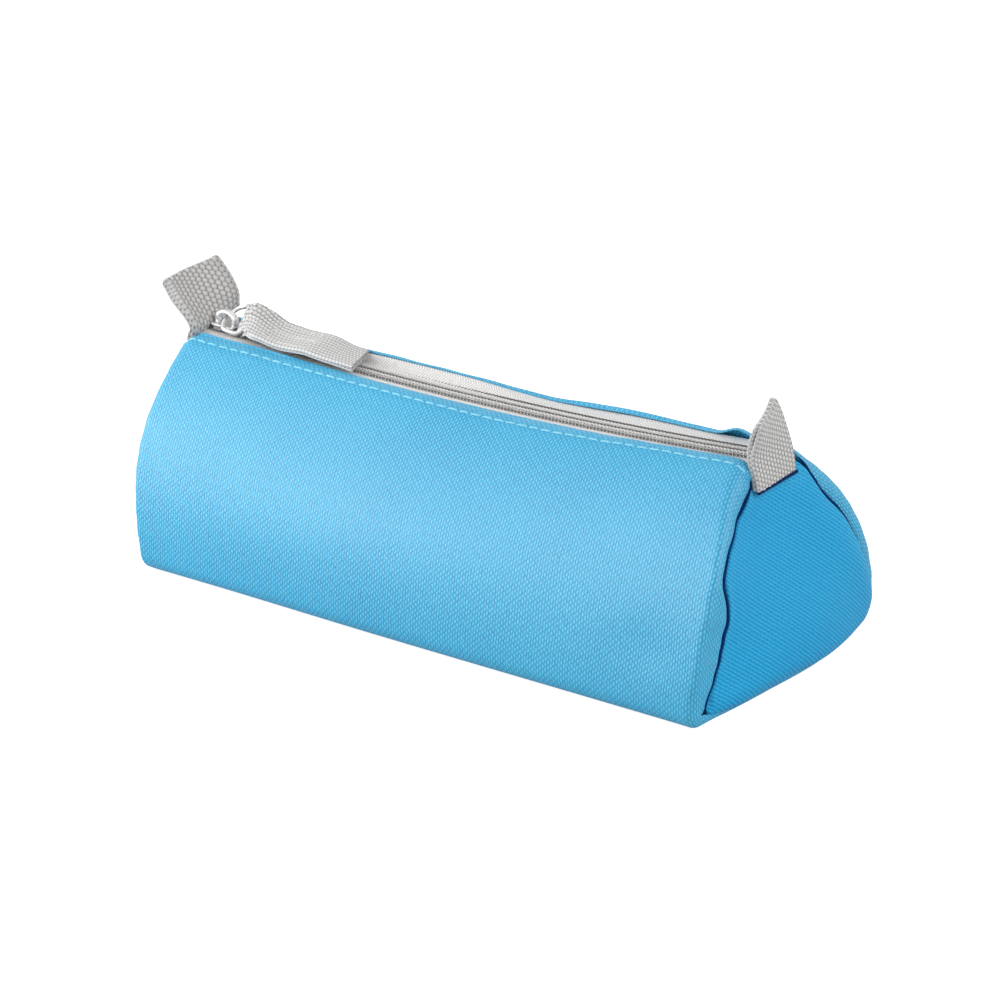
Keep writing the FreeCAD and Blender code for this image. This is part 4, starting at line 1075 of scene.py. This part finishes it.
def left_shape(pivot, n, a, h, share, below, above):
    """The left loop leans out over the end, further at its rear edge, and its front corner droops."""
    grid = np.arange(-below, above + 1, 0.1)
    lean = np.radians(44) * ramp(grid, -4, 1.5)
    along_x, along_z = np.cumsum(np.sin(lean)) * 0.1, np.cumsum(np.cos(lean)) * 0.1
    tilt = np.interp(h, grid, lean)
    x = pivot[0] + 0.6 - np.interp(h, grid, along_x) + n * np.cos(tilt)
    z = pivot[2] + np.interp(h, grid, along_z) - np.interp(0, grid, along_z) + n * np.sin(tilt)
    up = ramp(h, 0, above)
    x = x + 0.15 * a * up + 2.2 * ramp(h, -2, 6) * ramp(share, 0.3, 1) + 0.6 * np.sin(a / 5) * hump(h, 0, above)
    x = x + 3 * ramp(share, 0.35, 1) * ramp(h, -3, 1) * (1 - ramp(h, 3, above))
    x = x + 1.4 * (1 - share) * (1 - ramp(h, 0, 11)) * ramp(h, -5, -1) + 1.3 * (1 - share) * up**1.5
    return stack(x, a + 4.6 * ramp(h, -2, above), z - 3.7 * (1 - share) * up**1.5)


def right_shape(pivot, n, a, h, share, below, above):
    """The right loop stands nearly upright, pinched and twisted at the top: its edges run apart in X."""
    z = pivot[2] + h
    near = keyed(z, (57, 96.4), (60, 95.8), (66, 94.2), (71, 94.8), (77, 96.4))
    far = keyed(z, (57, 95.8), (60, 95.5), (66, 94), (71, 91.6), (77, 88.8))
    sine = (near - far) / (2 * LOOP_HALF)
    cosine = np.sqrt(1 - sine**2)
    x = near + (far - near) * share + 0.5 * np.sin(pi * share) * ramp(z, 62, 72) + n * cosine
    return stack(x, a * cosine + n * sine, z + 1.2 * (share - 0.5) * ramp(z, 66, 77))


# each loop's ply, its length below and above the seam, its weave, material and shape
LOOPS = {
    LEFT: (1, 11, 18.6, selvedged, LOOP_WEBBING, left_shape),
    RIGHT: (0.9, 9.5, 10.2, ribbed, RIB_WEBBING, right_shape),
}


def add_loop(end, name, node, joint):
    """A webbing loop sewn into the end seam, its plies nearly flat: first made upright, then bent to shape."""
    pivot = joint_mm(joint)
    ply, below, above, relief, material, shape = LOOPS[end]
    h = np.arange(-below, above - ply, 0.2)
    apart = ply / 2 + 0.06 + 0.3 * hump(h, -1, above * 1.2)
    turn = np.linspace(0, pi, 18)[1:-1]
    fold = stack(apart[-1] * np.cos(turn), 0, h[-1] + apart[-1] * np.sin(turn))
    path = evened(join(stack(apart, 0, h), fold, stack(-apart, 0, h)[::-1]), 0.2)
    points, faces, uv = ribbon(path, -upward(path), LOOP_HALF, ply, 124, 6, relief)
    n, a, h = points.T
    points = shape(pivot, n, a, h, (a + LOOP_HALF) / (2 * LOOP_HALF), below, above)
    piece = Parts().add(points, faces, uv).make(name, "webbing", material, (node,), None)
    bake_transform(piece)


# ---- put it together ----

add_wrap()
for end, word in BOTH_ENDS:
    add_end_panel(end, f"{word}_end_cloth", f"{word}_end_panel")
for end, word in BOTH_ENDS:
    add_binding(end, word)
for side, word in BOTH_SIDES:
    add_topstitch(side, f"{word}_stitches", f"{word}_topstitch")
for side, word in BOTH_SIDES:
    add_tape(side, f"{word}_tape", f"{word}_zip_tape")
    add_coil(side, f"{word}_coil", f"{word}_zip_coil")
    add_cord_and_stitching(side, word)
add_slider()
add_ring()
add_pull()
for end, word in BOTH_ENDS:
    add_loop(end, f"{word}_webbing_loop", f"{word}_end_loop", f"{word}_loop_flex")

# ---- floor, light and camera ----

AIM = Vector((0, 0, 0.035))


def from_angles(azimuth, elevation):
    """A direction from the object, in degrees round from its front and up."""
    a, e = radians(azimuth), radians(elevation)
    return Vector((sin(a) * cos(e), -cos(a) * cos(e), sin(e)))


def add_stage():
    bpy.ops.mesh.primitive_plane_add(size=8, location=(0, 0, -0.0003))
    floor = bpy.context.object
    floor.name = "floor"
    material = new_material("floor_white")
    tree = material.node_tree
    tree.nodes.clear()
    seen = Value(tree, add_node(tree, "ShaderNodeLightPath").outputs["Is Camera Ray"])
    glow = add_node(tree, "ShaderNodeEmission", {"Strength": (seen * 0.85).socket})
    diffuse = add_node(tree, "ShaderNodeBsdfDiffuse", {"Color": (0.7, 0.7, 0.7, 1)})
    both = add_node(tree, "ShaderNodeAddShader", [diffuse.outputs[0], glow.outputs[0]])
    add_node(tree, "ShaderNodeOutputMaterial", {"Surface": both.outputs[0]})
    floor.data.materials.append(material)


def add_world():
    world = bpy.data.worlds.new("studio")
    bpy.context.scene.world = world
    world.use_nodes = True
    tree = world.node_tree
    background = tree.nodes["Background"]
    background.inputs["Color"].default_value = (1, 1, 1, 1)
    rays = add_node(tree, "ShaderNodeLightPath").outputs
    seen = Value(tree, rays["Is Camera Ray"]).do("MAXIMUM", rays["Is Glossy Ray"])
    tree.links.new(seen.do("MULTIPLY_ADD", 0.54, 0.46).socket, background.inputs["Strength"])


def add_lamp(name, azimuth, elevation, distance, size, power):
    """A soft square lamp aimed at the object."""
    data = bpy.data.lights.new(name, "AREA")
    data.shape, data.size, data.energy = "SQUARE", size, power
    lamp = add_object(name, data)
    back = from_angles(azimuth, elevation)
    lamp.location = AIM + back * distance
    lamp.rotation_euler = back.to_track_quat("Z", "Y").to_euler()


def add_camera(azimuth, elevation, distance):
    back = from_angles(azimuth, elevation)
    right = Vector((cos(radians(azimuth)), sin(radians(azimuth)), 0))
    up = back.cross(right)
    data = bpy.data.cameras.new("camera")
    data.sensor_width, data.lens = 36, 126
    data.clip_start, data.clip_end = 0.01, 20
    camera = add_object("camera", data)
    camera.matrix_world = Matrix((right, up, back)).transposed().to_4x4()
    camera.location = AIM + right * 0.0022 - up * 0.00485 + back * distance
    bpy.context.scene.camera = camera


add_stage()
add_world()
add_lamp("key", -50, 30, 0.9, 0.8, 5.2)
add_lamp("low_front", -62, 6, 0.75, 0.45, 2)
add_lamp("right", 95, 34, 1.4, 0.9, 8.4)
add_camera(35.67, 21.19, 1.0272)
bpy.context.scene.view_settings.view_transform = "Standard"

bpy.context.view_layer.update()
